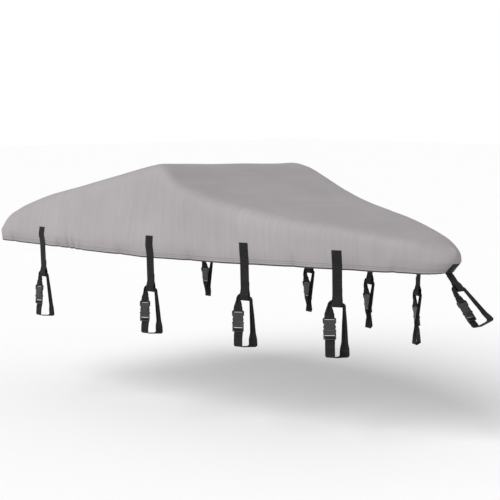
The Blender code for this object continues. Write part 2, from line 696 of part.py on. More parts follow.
def buckle_insert(place, coll, mat):
    """The buckle's insert: two sprung prongs and a guide above a ladder of two slots."""
    mouth = -(SOCKET_AT + SOCKET_L) - 0.0006
    end = -(SOCKET_AT + SOCKET_L + LADDER_L)
    half = 0.5 * LADDER_W
    prong_tip = mouth + 0.060
    window = -(SOCKET_AT + 0.064)
    outline = [
        (half, mouth), (0.0405, mouth), (0.0405, window - 0.0135), (0.0475, window - 0.0125),
        (0.0475, window + 0.004), (0.0400, window + 0.0130), (0.0360, prong_tip),
        (0.0290, prong_tip), (0.0300, mouth + 0.014), (0.0060, mouth + 0.014),
        (0.0050, prong_tip - 0.004),
    ]
    outline += [(-x, z) for x, z in reversed(outline)]
    outline += [(-half, end + 0.006), (-half + 0.006, end), (half - 0.006, end), (half, end + 0.006)]
    slot_low = (end + BAR, end + BAR + LADDER_SLOT)
    slot_up = (slot_low[1] + BAR, slot_low[1] + BAR + 0.0095)
    curve = bpy.data.curves.new("insert_outline", "CURVE")
    curve.dimensions = "2D"
    curve.fill_mode = "BOTH"
    curve.extrude = 0.5 * LADDER_T
    loops = [outline]
    for z0, z1 in (slot_low, slot_up):
        w = 0.5 * SLOT_W
        loops.append([(-w, z0), (w, z0), (w, z1), (-w, z1)])
    for loop in loops:
        spline = curve.splines.new("POLY")
        spline.points.add(len(loop) - 1)
        spline.use_cyclic_u = True
        for point, (x, z) in zip(spline.points, loop):
            point.co = (x, z, 0.0, 1.0)
    flat = bpy.data.objects.new("insert_flat", curve)
    bpy.context.scene.collection.objects.link(flat)
    depsgraph = bpy.context.evaluated_depsgraph_get()
    mesh = bpy.data.meshes.new_from_object(flat.evaluated_get(depsgraph))
    bpy.data.objects.remove(flat, do_unlink=True)
    bm = bmesh.new()
    bm.from_mesh(mesh)
    bmesh.ops.remove_doubles(bm, verts=bm.verts, dist=0.00001)
    bmesh.ops.rotate(bm, verts=bm.verts, cent=(0, 0, 0), matrix=Matrix.Rotation(math.radians(90.0), 3, "X"))
    bmesh.ops.recalc_face_normals(bm, faces=bm.faces)
    name = "buckle_insert_" + place.name
    obj = add_object(name, mesh_from_bmesh(name, bm), coll, mat)
    obj.matrix_world = leg_matrix(place)
    return obj


# ---------------------------------------------------------------- the left side
def mirror_copy(obj, name, coll):
    """A baked copy on the other side of the centre line, faces turned to point out again."""
    depsgraph = bpy.context.evaluated_depsgraph_get()
    mesh = bpy.data.meshes.new_from_object(obj.evaluated_get(depsgraph))
    bm = bmesh.new()
    bm.from_mesh(mesh)
    bmesh.ops.transform(bm, matrix=obj.matrix_world, verts=bm.verts)
    bmesh.ops.scale(bm, vec=(1.0, -1.0, 1.0), verts=bm.verts)
    bmesh.ops.reverse_faces(bm, faces=bm.faces)
    bm.to_mesh(mesh)
    bm.free()
    mesh.name = name
    copy = bpy.data.objects.new(name, mesh)
    coll.objects.link(copy)
    return copy


# ---------------------------------------------------------------- build
def main():
    """Build the sheet, then the nine tabs, tie-downs and buckles."""
    clear_scene()
    parts = new_collection("fitted_cover")
    cutters = new_collection("cutters", hidden=True)
    cloth = make_material("cover_cloth", CLOTH_LOOK)
    webbing = make_material("black_webbing", WEB_LOOK)
    plastic = make_material("buckle_plastic", BUCKLE_LOOK)

    sheet = build_sheet(parts, cloth)
    bpy.context.view_layer.update()
    tree = outer_surface(sheet)

    made = []
    for strap in STRAPS:
        place = side_place(strap)
        place = place._replace(name="right_" + strap.name)
        made.append(side_tab(place, strap, tree, parts, webbing))
        made.append(tie_down(place, parts, webbing))
        made.append(buckle_socket(place, parts, cutters, plastic))
        made.append(buckle_insert(place, parts, plastic))
    place = nose_place()
    nose_tab(place, tree, parts, webbing)
    tie_down(place, parts, webbing)
    buckle_socket(place, parts, cutters, plastic)
    buckle_insert(place, parts, plastic)

    bpy.context.view_layer.update()
    for obj in made:
        mirror_copy(obj, obj.name.replace("_right_", "_left_"), parts)


main()
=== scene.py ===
"""Visual model of a fitted cloth cover with nine buckled tie-down straps.

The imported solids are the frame.  Each of them is replaced here by a finer piece of its own: the
sewn sheet with its gathered hem and double row of stitches, the webbing tabs sewn to it, the
tie-down straps gathered in the tabs' eyes, and the side-release buckles that close them.

Frame: +X to the nose, +Y to the left side, +Z up, metres.  The origin is on the centre line, at
the underside of the crown.
"""

import logging
import math
from contextlib import contextmanager
from dataclasses import dataclass, field
from enum import Enum
from typing import Iterable, Iterator, NamedTuple, Sequence

import bmesh
import bpy
import numpy as np
from bmesh.types import BMesh
from bpy.types import Material, Node, NodeSocket, Object
from mathutils import Matrix, Vector, noise
from mathutils.bvhtree import BVHTree


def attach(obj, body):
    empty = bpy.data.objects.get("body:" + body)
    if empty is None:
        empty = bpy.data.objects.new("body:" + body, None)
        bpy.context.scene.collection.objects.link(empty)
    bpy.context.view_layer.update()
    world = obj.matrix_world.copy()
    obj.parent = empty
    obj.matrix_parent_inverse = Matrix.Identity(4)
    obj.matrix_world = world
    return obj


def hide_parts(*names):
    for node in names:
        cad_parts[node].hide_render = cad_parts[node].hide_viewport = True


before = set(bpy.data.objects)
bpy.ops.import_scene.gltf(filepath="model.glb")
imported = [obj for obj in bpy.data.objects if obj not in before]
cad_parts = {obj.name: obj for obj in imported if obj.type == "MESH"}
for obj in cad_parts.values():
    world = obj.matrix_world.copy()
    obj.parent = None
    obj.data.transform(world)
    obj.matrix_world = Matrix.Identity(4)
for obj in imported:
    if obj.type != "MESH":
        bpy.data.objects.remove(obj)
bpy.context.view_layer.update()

log = logging.getLogger("fitted_cover")

Colour = tuple[float, float, float]
Flat = tuple[float, float]

CLOTH = 0.002      # thickness of the sheet
WEB = 0.002        # thickness of the webbing
WEB_W = 0.076      # width of the webbing
GAP = 0.0003       # clearance between layers
CROWN = np.array([-2.30, 0.0, 0.710])   # the crown, from the tip of the nose's hem
X_AXIS, Y_AXIS, Z_AXIS = np.eye(3)


# ---------------------------------------------------------------- the cutting pattern
class PatternLine(NamedTuple):
    """One line of the pattern, from the hem up to the centre line, measured from the nose's hem."""

    hem_x: float
    hem_y: float
    hem_z: float
    belt_x: float
    belt_y: float
    belt_z: float
    crease_x: float
    crease_y: float
    crease_z: float
    ridge_x: float
    ridge_z: float


PATTERN = tuple(PatternLine(*row) for row in (
    (0.000, 0.000, 0.012, 0.107, 0.000, 0.108, 0.088, 0.000, 0.150, 0.030, 0.196),
    (-0.004, 0.036, 0.010, 0.097, 0.045, 0.110, 0.076, 0.045, 0.154, 0.000, 0.203),
    (-0.030, 0.088, 0.005, 0.052, 0.102, 0.114, 0.030, 0.100, 0.168, -0.050, 0.220),
    (-0.110, 0.152, 0.001, -0.040, 0.164, 0.120, -0.058, 0.161, 0.197, -0.130, 0.246),
    (-0.250, 0.228, 0.004, -0.200, 0.250, 0.140, -0.205, 0.250, 0.232, -0.260, 0.274),
    (-0.450, 0.338, 0.007, -0.430, 0.362, 0.152, -0.430, 0.368, 0.268, -0.460, 0.306),
    (-0.730, 0.480, 0.011, -0.730, 0.502, 0.160, -0.730, 0.508, 0.308, -0.740, 0.341),
    (-1.050, 0.600, 0.013, -1.050, 0.622, 0.162, -1.050, 0.628, 0.346, -1.050, 0.379),
    (-1.440, 0.710, 0.009, -1.440, 0.732, 0.160, -1.440, 0.724, 0.412, -1.440, 0.447),
    (-1.750, 0.788, 0.008, -1.750, 0.812, 0.155, -1.750, 0.798, 0.480, -1.750, 0.518),
    (-2.020, 0.848, 0.007, -2.020, 0.872, 0.150, -2.020, 0.838, 0.576, -2.020, 0.602),
    (-2.180, 0.875, 0.005, -2.180, 0.899, 0.145, -2.180, 0.805, 0.665, -2.180, 0.674),
    (-2.300, 0.892, 0.004, -2.300, 0.917, 0.143, -2.300, 0.770, 0.707, -2.300, 0.710),
    (-2.450, 0.908, 0.005, -2.450, 0.932, 0.140, -2.450, 0.782, 0.686, -2.450, 0.697),
    (-2.800, 0.926, 0.005, -2.800, 0.950, 0.133, -2.800, 0.822, 0.606, -2.800, 0.629),
    (-3.250, 0.936, 0.006, -3.250, 0.960, 0.127, -3.250, 0.855, 0.502, -3.250, 0.538),
    (-3.700, 0.934, 0.007, -3.700, 0.956, 0.122, -3.700, 0.868, 0.405, -3.700, 0.452),
    (-4.080, 0.922, 0.002, -4.080, 0.944, 0.118, -4.070, 0.862, 0.306, -4.050, 0.385),
    (-4.290, 0.898, 0.000, -4.300, 0.918, 0.114, -4.260, 0.826, 0.244, -4.200, 0.358),
    (-4.380, 0.840, 0.000, -4.398, 0.855, 0.112, -4.350, 0.755, 0.246, -4.270, 0.350),
    (-4.412, 0.710, 0.000, -4.434, 0.712, 0.114, -4.385, 0.625, 0.276, -4.315, 0.344),
    (-4.425, 0.400, 0.000, -4.446, 0.400, 0.116, -4.398, 0.360, 0.310, -4.345, 0.342),
    (-4.430, 0.000, 0.000, -4.450, 0.000, 0.118, -4.403, 0.000, 0.323, -4.355, 0.341),
))


class Fold(NamedTuple):
    """A place where the elastic draws the skirt in: along the hem, its width, depth and reach."""

    x: float
    width: float
    depth: float
    reach: float


FOLDS = (
    Fold(-0.30, 0.070, 0.006, 0.10),
    Fold(-0.98, 0.090, 0.007, 0.16),
    Fold(-1.88, 0.100, 0.008, 0.13),
    Fold(-2.62, 0.080, 0.006, 0.12),
    Fold(-3.12, 0.055, 0.008, 0.13),
    Fold(-3.21, 0.045, 0.009, 0.17),
    Fold(-3.29, 0.045, 0.008, 0.22),
    Fold(-3.43, 0.055, 0.008, 0.11),
    Fold(-4.12, 0.070, 0.006, 0.12),
)


class Wave(NamedTuple):
    """A long wave of the hem, drawn in more here and less there."""

    depth: float
    rate: float
    phase: float


SLACK = (Wave(0.0035, 9.1, 0.7), Wave(0.0025, 15.7, 2.1))


class Dent(NamedTuple):
    """A soft round patch where the taut top stands higher or lower than its pattern."""

    x: float
    y: float
    long: float
    wide: float
    rise: float


DENTS = (
    Dent(-0.07, 0.78, 0.19, 0.34, -0.034),
    Dent(-0.03, 0.28, 0.26, 0.26, -0.004),
    Dent(-0.03, -0.48, 0.26, 0.22, 0.011),
    Dent(1.10, 0.60, 0.34, 0.34, -0.010),
)


class StrapSpec(NamedTuple):
    """A side strap: where its tab is sewn, how high the tab reaches, and its loop's foot."""

    name: str
    x: float
    top: float
    foot: float


STRAPS = (
    StrapSpec("1", -3.65, 0.155, 0.600),
    StrapSpec("2", -2.26, 0.175, 0.595),
    StrapSpec("3", -1.38, 0.165, 0.615),
    StrapSpec("4", -0.66, 0.145, 0.633),
)


class Side(Enum):
    """A side of the cover, as the sign of its Y."""

    RIGHT = -1
    LEFT = 1


# ---------------------------------------------------------------- small mathematics
def smooth_step(t: np.ndarray | float) -> np.ndarray | float:
    """Rise from 0 to 1 with level ends."""
    t = np.clip(t, 0.0, 1.0)
    return t * t * (3.0 - 2.0 * t)


def fade(t: np.ndarray | float, reach: float) -> np.ndarray | float:
    """Fall from 1 to 0 over a reach, with level ends."""
    return 1.0 - smooth_step(t / reach)


def hill(x: np.ndarray, centre: float, width: float) -> np.ndarray:
    """A soft hill of height 1."""
    return np.exp(-((x - centre) / width) ** 2)


def unit(v: np.ndarray) -> np.ndarray:
    """The vector at length one."""
    return v / np.linalg.norm(v)


def walked(line: Sequence[np.ndarray]) -> np.ndarray:
    """How far along a line each of its points lies."""
    return np.concatenate(([0.0], np.cumsum(np.linalg.norm(np.diff(line, axis=0), axis=1))))


def look_up(t: np.ndarray | float, walk: np.ndarray, table: np.ndarray) -> np.ndarray:
    """Read each column of a table at a distance walked along its rows."""
    return np.array([np.interp(t, walk, column) for column in table.T])


def catmull(a: np.ndarray, b: np.ndarray, c: np.ndarray, d: np.ndarray, t: float) -> np.ndarray:
    """Point of the Catmull-Rom spline between b and c."""
    return 0.5 * (2.0 * b + (c - a) * t + (2.0 * a - 5.0 * b + 4.0 * c - d) * t * t
                  + (3.0 * b - a - 3.0 * c + d) * t ** 3)


def bow(a: np.ndarray, corner: np.ndarray, b: np.ndarray, steps: int) -> list[np.ndarray]:
    """Points of the parabola from a to b that leaves and arrives along the corner's two sides."""
    return [(1 - t) ** 2 * a + 2 * t * (1 - t) * corner + t * t * b for t in np.linspace(0, 1, steps + 1)]


def bow_through(a: np.ndarray, middle: np.ndarray, b: np.ndarray, steps: int) -> list[np.ndarray]:
    """Points of the parabola from a to b that has the given point at its middle."""
    return bow(a, 2.0 * middle - 0.5 * (a + b), b, steps)


def rounded_path(corners: Sequence[Flat], radius: Sequence[float], pitch: float = 0.003) -> list[np.ndarray]:
    """Round the corners of a flat line and sample it.

    Args:
        corners: corners of the line, ends included.
        radius: radius wanted at each inner corner.
        pitch: largest distance between samples on the straights.

    Returns:
        Samples along the line, both ends included.
    """
    pts = [np.array(p, float) for p in corners]
    bends = []
    for i in range(1, len(pts) - 1):
        back, ahead = pts[i - 1] - pts[i], pts[i + 1] - pts[i]
        lb, la = np.linalg.norm(back), np.linalg.norm(ahead)
        angle = math.pi - math.acos(float(np.clip(back @ ahead / (lb * la), -1.0, 1.0)))
        cut = min(radius[i - 1] * math.tan(angle / 2), 0.48 * lb, 0.48 * la)
        steps = max(1, int(math.degrees(angle) / 15))
        bends.append(bow(pts[i] + back / lb * cut, pts[i], pts[i] + ahead / la * cut, steps))
    samples = [pts[0]]
    for bend in bends + [[pts[-1]]]:
        start, end = samples[-1], bend[0]
        count = int(np.linalg.norm(end - start) / pitch)
        samples += [start + (end - start) * (k / (count + 1)) for k in range(1, count + 1)] + bend
    return samples


def arc(centre: Flat, radius: float, angles: Iterable[float]) -> list[Flat]:
    """Points of an arc, its angles in radians from the second axis towards the first."""
    return [(centre[0] + radius * math.sin(a), centre[1] + radius * math.cos(a)) for a in angles]


def mirrored(points: Sequence[Flat]) -> list[Flat]:
    """A line's mirror image across its second axis, walked backwards."""
    return [(-x, z) for x, z in reversed(points)]


def turn(axis: str, degrees: float, size: int = 4) -> Matrix:
    """A rotation's matrix."""
    return Matrix.Rotation(math.radians(degrees), size, axis)


# ---------------------------------------------------------------- mesh helpers
def link(obj: Object) -> Object:
    """Put an object in the scene."""
    bpy.context.scene.collection.objects.link(obj)
    return obj


def new_object(name: str, bm: BMesh) -> Object:
    """Write a bmesh to a new object at the origin and free it.

    Args:
        name: name of the object and its mesh.
        bm: the bmesh, which is freed.

    Returns:
        The object, in the scene.
    """
    mesh = bpy.data.meshes.new(name)
    bm.to_mesh(mesh)
    bm.free()
    return link(bpy.data.objects.new(name, mesh))


@contextmanager
def edited(obj: Object) -> Iterator[BMesh]:
    """Lend out an object's mesh as a bmesh, and write it back.

    Args:
        obj: the object.

    Yields:
        The bmesh.
    """
    bm = bmesh.new()
    bm.from_mesh(obj.data)
    yield bm
    bm.to_mesh(obj.data)
    bm.free()


def modify(obj: Object, name: str, kind: str, **settings: object) -> None:
    """Add a modifier with those settings.

    Args:
        obj: the object.
        name: the modifier's name.
        kind: its type.
        settings: its attributes and their values.
    """
    modifier = obj.modifiers.new(name, kind)
    for key, value in settings.items():
        setattr(modifier, key, value)


def bake(obj: Object) -> None:
    """Give an object the mesh that its modifiers make.

    Args:
        obj: the object, left without modifiers.
    """
    graph = bpy.context.evaluated_depsgraph_get()
    mesh = bpy.data.meshes.new_from_object(obj.evaluated_get(graph), preserve_all_data_layers=True,
                                           depsgraph=graph)
    old = obj.data
    obj.modifiers.clear()
    obj.data = mesh
    mesh.name = obj.name
    if old.users == 0:
        bpy.data.meshes.remove(old)


def soften(obj: Object, name: str, width: float, segments: int, degrees: float) -> None:
    """Round the edges that turn by more than an angle.

    Args:
        obj: the object.
        name: the modifier's name.
        width: width of the rounding.
        segments: faces across it.
        degrees: the angle.
    """
    modify(obj, name, "BEVEL", width=width, segments=segments, limit_method="ANGLE",
           angle_limit=math.radians(degrees))
    bake(obj)


def shade(obj: Object, sharp_degrees: float) -> Object:
    """Shade an object smooth, and leave its steep edges sharp.

    Args:
        obj: the object.
        sharp_degrees: angle from which an edge is sharp.

    Returns:
        The object.
    """
    limit = math.radians(sharp_degrees)
    with edited(obj) as bm:
        for face in bm.faces:
            face.smooth = True
        for edge in bm.edges:
            edge.smooth = len(edge.link_faces) == 2 and edge.calc_face_angle(0.0) < limit
    return obj


def face_out(obj: Object) -> None:
    """Turn an object's faces to point out."""
    with edited(obj) as bm:
        bmesh.ops.recalc_face_normals(bm, faces=bm.faces)


def place_mesh(obj: Object, matrix: Matrix) -> Object:
    """Turn and move an object's mesh, with its faces kept pointing out.

    Args:
        obj: the object.
        matrix: the move, which may mirror.

    Returns:
        The object.
    """
    obj.data.transform(matrix)
    if matrix.determinant() < 0.0:
        obj.data.flip_normals()
    return obj


def finish_piece(obj: Object, material: Material, node: str = "") -> None:
    """Dress a finished piece and fix it to the frame.

    Args:
        obj: the piece, in place.
        material: its finish.
        node: the solid that it stands for, if there is one.
    """
    obj.data.materials.clear()
    obj.data.materials.append(material)
    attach(obj, "root")
    if node:
        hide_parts(node)
    log.info("%s: %d faces", obj.name, len(obj.data.polygons))


def grid_strip(points: np.ndarray, across: np.ndarray, along: np.ndarray, layer: str,
               marks: dict[str, np.ndarray] | None = None) -> BMesh:
    """An open sheet of quads over a grid of points, with a map in metres.

    Args:
        points: the grid, rows by columns by 3.
        across: map coordinate of each point across, rows by columns.
        along: map coordinate of each point along, rows by columns.
        layer: name of the map.
        marks: values that each point carries, by the attribute's name.

    Returns:
        The sheet.
    """
    rows, columns = points.shape[:2]
    bm = bmesh.new()
    bmesh.ops.create_grid(bm, x_segments=columns - 1, y_segments=rows - 1, size=0.5)
    layers = [(bm.verts.layers.float.new(name), values) for name, values in (marks or {}).items()]
    spot = {}
    for vert in bm.verts:
        i, j = round((vert.co.y + 0.5) * (rows - 1)), round((vert.co.x + 0.5) * (columns - 1))
        spot[vert.index] = (i, j)
        vert.co = points[i, j]
        for mark, values in layers:
            vert[mark] = float(values[i, j])
    uv = bm.loops.layers.uv.new(layer)
    for face in bm.faces:
        for loop in face.loops:
            i, j = spot[loop.vert.index]
            loop[uv].uv = (across[i, j], along[i, j])
    return bm


# ---------------------------------------------------------------- finishes
class NodeBook:
    """A material's node tree, with short calls to add and join nodes."""

    def __init__(self, name: str) -> None:
        """Start a material with a Principled shader.

        Args:
            name: the material's name.
        """
        self.material = bpy.data.materials.new(name)
        self.material.use_nodes = True
        self.tree = self.material.node_tree
        self.place = self.add("ShaderNodeTexCoord").outputs["Object"]

    def add(self, kind: str, **values: object) -> Node:
        """Add a node.

        Args:
            kind: its type.
            values: values for its attributes of that name, or else for its sockets.

        Returns:
            The node.
        """
        node = self.tree.nodes.new(kind)
        for key, value in values.items():
            if hasattr(node, key):
                setattr(node, key, value)
            else:
                node.inputs[key.replace("_", " ")].default_value = value
        return node

    def put(self, value: object, socket: NodeSocket) -> None:
        """Join an output to a socket, or set the socket.

        Args:
            value: an output, a number or a colour, or None to leave the socket.
            socket: the socket.
        """
        if isinstance(value, NodeSocket):
            self.tree.links.new(value, socket)
        elif value is not None:
            socket.default_value = (*value, 1.0) if isinstance(value, tuple) else value

    def fed(self, node: Node, *values: object) -> NodeSocket:
        """Put values on a node's first sockets.

        Args:
            node: the node.
            values: outputs or numbers.

        Returns:
            Its first output.
        """
        for value, socket in zip(values, node.inputs):
            self.put(value, socket)
        return node.outputs[0]

    def read_map(self, name: str) -> tuple[NodeSocket, NodeSocket, NodeSocket]:
        """Read a map of the mesh.

        Args:
            name: the map's name.

        Returns:
            The map, and its two coordinates.
        """
        uv = self.add("ShaderNodeUVMap", uv_map=name).outputs[0]
        split = self.add("ShaderNodeSeparateXYZ")
        self.put(uv, split.inputs[0])
        return uv, split.outputs[0], split.outputs[1]

    def math(self, operation: str, a: object, b: object = None) -> NodeSocket:
        """A Math node on sockets or numbers."""
        return self.fed(self.add("ShaderNodeMath", operation=operation), a, b)

    def times(self, a: object, b: object) -> NodeSocket:
        """The product of two values."""
        return self.math("MULTIPLY", a, b)

    def away(self, value: NodeSocket, centre: float) -> NodeSocket:
        """How far a value lies from a centre."""
        return self.math("ABSOLUTE", self.math("SUBTRACT", value, centre))

    def blend(self, amount: object, a: object, b: object) -> NodeSocket:
        """Mix two colours.

        Args:
            amount: share of the second, from 0 to 1.
            a: the first colour.
            b: the second colour.

        Returns:
            The mixed colour.
        """
        node = self.add("ShaderNodeMix", data_type="RGBA", blend_type="MIX")
        for index, value in ((0, amount), (6, a), (7, b)):
            self.put(value, node.inputs[index])
        return node.outputs[2]

    def noise(self, vector: NodeSocket, scale: float, detail: float, rough: float) -> NodeSocket:
        """A Noise texture's value."""
        return self.fed(self.add("ShaderNodeTexNoise", Scale=scale, Detail=detail, Roughness=rough), vector)

    def turned(self, vector: NodeSocket, **values: object) -> NodeSocket:
        """A vector turned and scaled."""
        return self.fed(self.add("ShaderNodeMapping", vector_type="POINT", **values), vector)

    def levels(self, value: NodeSocket, low: float, high: float, to_low: float, to_high: float) -> NodeSocket:
        """Map a value from one range to another, clamped."""
        return self.fed(self.add("ShaderNodeMapRange"), value, low, high, to_low, to_high)

    def ripple(self, value: NodeSocket, pitch: float) -> NodeSocket:
        """A wave from 0 to 1 with that pitch in metres."""
        return self.levels(self.math("SINE", self.times(value, 2.0 * math.pi / pitch)), -1.0, 1.0, 0.0, 1.0)

    def bump(self, height: NodeSocket, distance: float, strength: float,
             under: NodeSocket | None = None) -> NodeSocket:
        """Add a Bump node.

        Args:
            height: the relief, from 0 to 1.
            distance: its height in metres.
            strength: how strongly it shows.
            under: the normal that it is laid over.

        Returns:
            The node's normal.
        """
        node = self.add("ShaderNodeBump", Strength=strength, Distance=distance)
        self.put(height, node.inputs["Height"])
        self.put(under, node.inputs["Normal"])
        return node.outputs[0]

    def dress(self, **looks: object) -> Material:
        """Put values on the shader's sockets, by their names, and return the material."""
        for key, value in looks.items():
            self.put(value, self.tree.nodes["Principled BSDF"].inputs[key.replace("_", " ")])
        return self.material


def toned(colour: Colour, factor: float) -> Colour:
    """A colour made paler or deeper."""
    return tuple(min(1.0, c * factor) for c in colour)


@dataclass(frozen=True)
class ClothFinish:
    """Coated polyester cloth in a plain weave, matt grey and a little mottled, with painted shade in its
    gathers.
    """

    colour: Colour = (0.334, 0.311, 0.319)
    # shade: darker tone for the weave and the streaks, and painted shade towards the hem and in the gathers
    shade: Colour = (0.244, 0.227, 0.233)
    # seam: the thread's darker tone with painted shade of the stitch grooves
    seam: Colour = (0.165, 0.154, 0.158)
    edge: Colour = (0.034, 0.032, 0.033)
    seams: tuple[Flat, ...] = ((0.0235, 0.80), (0.0375, 0.90))
    seam_width: float = 0.0042
    yarn: float = 0.0011
    roughness: float = 0.74

    def material(self, map_name: str, crease: str) -> Material:
        """Make the cloth's material.

        Args:
            map_name: the sheet's map, in metres, across from the nose and up from the hem.
            crease: the attribute of painted shade, 1 in the gathers and 0 on smooth cloth.

        Returns:
            The material.
        """
        book = NodeBook("grey_cover_cloth")
        uv, along, up = book.read_map(map_name)
        # painted shade in the gathers' creases, read from the sheet's attribute
        painted_fold_shade = book.add("ShaderNodeAttribute", attribute_name=crease).outputs["Fac"]
        weave = book.times(book.ripple(along, self.yarn), book.ripple(up, self.yarn))
        broad = book.levels(book.noise(book.place, 2.1, 3.0, 0.6), 0.35, 0.68, 0.0, 1.0)
        grain = book.levels(book.noise(book.place, 95.0, 3.0, 0.7), 0.34, 0.66, 0.0, 1.0)
        brushed = book.turned(uv, Scale=(1.0, 0.045, 1.0))
        streaks = book.levels(book.noise(brushed, 34.0, 4.0, 0.62), 0.36, 0.66, 0.0, 0.26)
        deep = toned(self.colour, 0.945)
        tone = book.blend(broad, deep, toned(self.colour, 1.055))
        tone = book.blend(book.times(grain, 0.30), tone, deep)
        # weave and streaks are the cloth's own pattern; the darkening towards the hem and in the gathers is
        # painted shade
        for amount in (book.times(weave, 0.16), streaks, book.levels(up, 0.030, 0.150, 0.26, 0.0),
                       book.times(painted_fold_shade, 0.90)):
            tone = book.blend(amount, tone, self.shade)
        # stitch rows: the thread's darker tone and the painted shade of their grooves
        for height, depth in self.seams:
            line = book.levels(book.away(up, height), 0.0, self.seam_width, depth, 0.0)
            tone = book.blend(line, tone, self.seam)
        tone = book.blend(book.levels(up, 0.0080, 0.0120, 1.0, 0.0), tone, self.edge)
        low = book.bump(book.noise(book.place, 14.0, 3.0, 0.55), 0.0016, 0.55)
        mid = book.bump(book.noise(book.place, 620.0, 2.0, 0.6), 0.0004, 0.35, low)
        rough = book.levels(grain, 0.0, 1.0, self.roughness - 0.05, self.roughness + 0.06)
        return book.dress(Base_Color=tone, Roughness=rough, Normal=book.bump(weave, 0.00035, 0.55, mid),
                          Sheen_Weight=0.10, Sheen_Roughness=0.55, Specular_IOR_Level=0.32)


@dataclass(frozen=True)
class WebbingFinish:
    """Black woven webbing: ribs across, fine chevrons between them, and a firm selvedge."""

    colour: Colour = (0.0050, 0.0046, 0.0048)
    worn: Colour = (0.0135, 0.0125, 0.0129)
    rib: float = 0.0030
    chevron: float = 0.019
    end: float = 0.0024
    roughness: float = 0.66

    def material(self, map_name: str) -> Material:
        """Make the webbing's material.

        Args:
            map_name: the strap's map, in metres across and along.

        Returns:
            The material.
        """
        book = NodeBook("black_ribbed_webbing")
        uv, across, along = book.read_map(map_name)
        lean = book.away(book.ripple(across, self.chevron), 0.5)
        ribs = book.ripple(book.math("ADD", along, book.times(lean, self.rib)), self.rib)
        weave = book.times(ribs, book.levels(book.ripple(across, self.end), 0.0, 1.0, 0.55, 1.0))
        fuzz = book.noise(book.place, 900.0, 2.0, 0.6)
        wear = book.levels(book.noise(book.place, 38.0, 3.0, 0.65), 0.52, 0.74, 0.0, 1.0)
        half = 0.5 * WEB_W
        selvedge = book.levels(book.away(across, half), half - 0.0030, half - 0.0022, 0.0, 1.0)
        pulled = book.turned(uv, Scale=(0.12, 1.0, 1.0))
        bands = book.levels(book.noise(pulled, 62.0, 2.0, 0.6), 0.50, 0.62, 0.0, 0.75)
        tone = self.colour
        for amount in (book.times(weave, 0.45), book.times(wear, 0.35), bands):
            tone = book.blend(amount, tone, self.worn)
        tone = book.blend(book.times(selvedge, 0.5), tone, self.colour)
        rough = book.levels(fuzz, 0.3, 0.7, self.roughness - 0.08, self.roughness + 0.10)
        normal = book.bump(weave, 0.0007, 0.8, book.bump(fuzz, 0.0002, 0.4))
        return book.dress(Base_Color=tone, Roughness=rough, Normal=normal, Sheen_Weight=0.03,
                          Specular_IOR_Level=0.20)


@dataclass(frozen=True)
class PlasticFinish:
    """Black moulded plastic with a fine spark texture and a few scuffs."""

    colour: Colour = (0.0200, 0.0198, 0.0196)
    scuff: Colour = (0.085, 0.084, 0.083)
    roughness: float = 0.30

    def material(self) -> Material:
        """Make the plastic's material.

        Returns:
            The material.
        """
        book = NodeBook("black_moulded_plastic")
        spark = book.noise(book.place, 1500.0, 2.0, 0.6)
        cloud = book.noise(book.place, 24.0, 3.0, 0.6)
        drawn = book.turned(book.place, Rotation=(0.3, 0.5, 0.9), Scale=(1.0, 14.0, 2.0))
        scratch = book.levels(book.noise(drawn, 90.0, 4.0, 0.75), 0.66, 0.74, 0.0, 1.0)
        scuffs = book.times(scratch, book.levels(cloud, 0.45, 0.65, 0.0, 1.0))
        tone = book.blend(book.times(scuffs, 0.5), self.colour, self.scuff)
        tone = book.blend(book.levels(cloud, 0.35, 0.7, 0.0, 0.16), tone, self.scuff)
        rough = book.math("ADD", book.levels(spark, 0.3, 0.7, self.roughness - 0.04, self.roughness + 0.05),
                          book.times(scuffs, 0.22))
        return book.dress(Base_Color=tone, Roughness=rough, Normal=book.bump(spark, 0.00012, 0.5),
                          Specular_IOR_Level=0.5)


@dataclass(frozen=True)
class ThreadFinish:
    """Twisted bonded thread."""

    name: str
    colour: Colour
    roughness: float = 0.62

    def material(self) -> Material:
        """Make the thread's material, with the lay of its twist in the bump.

        Returns:
            The material.
        """
        book = NodeBook(self.name)
        tone = book.blend(book.noise(book.place, 1400.0, 2.0, 0.6), toned(self.colour, 0.72), self.colour)
        twist = book.add("ShaderNodeTexWave", Scale=520.0, Distortion=1.2, Detail=1.0)
        book.put(book.place, twist.inputs["Vector"])
        lay = book.bump(twist.outputs["Fac"], 0.0002, 0.6)
        return book.dress(Base_Color=tone, Normal=lay, Roughness=self.roughness)


@dataclass(frozen=True)
class FloorFinish:
    """A plain pale floor."""

    colour: Colour = (0.97, 0.97, 0.97)

    def material(self) -> Material:
        """Make the floor's material.

        Returns:
            The material.
        """
        book = NodeBook("pale_floor")
        cloud = book.levels(book.noise(book.place, 0.6, 2.0, 0.5), 0.3, 0.7, 0.0, 1.0)
        return book.dress(Base_Color=book.blend(cloud, self.colour, toned(self.colour, 0.99)), Roughness=0.9,
                          Specular_IOR_Level=0.1)


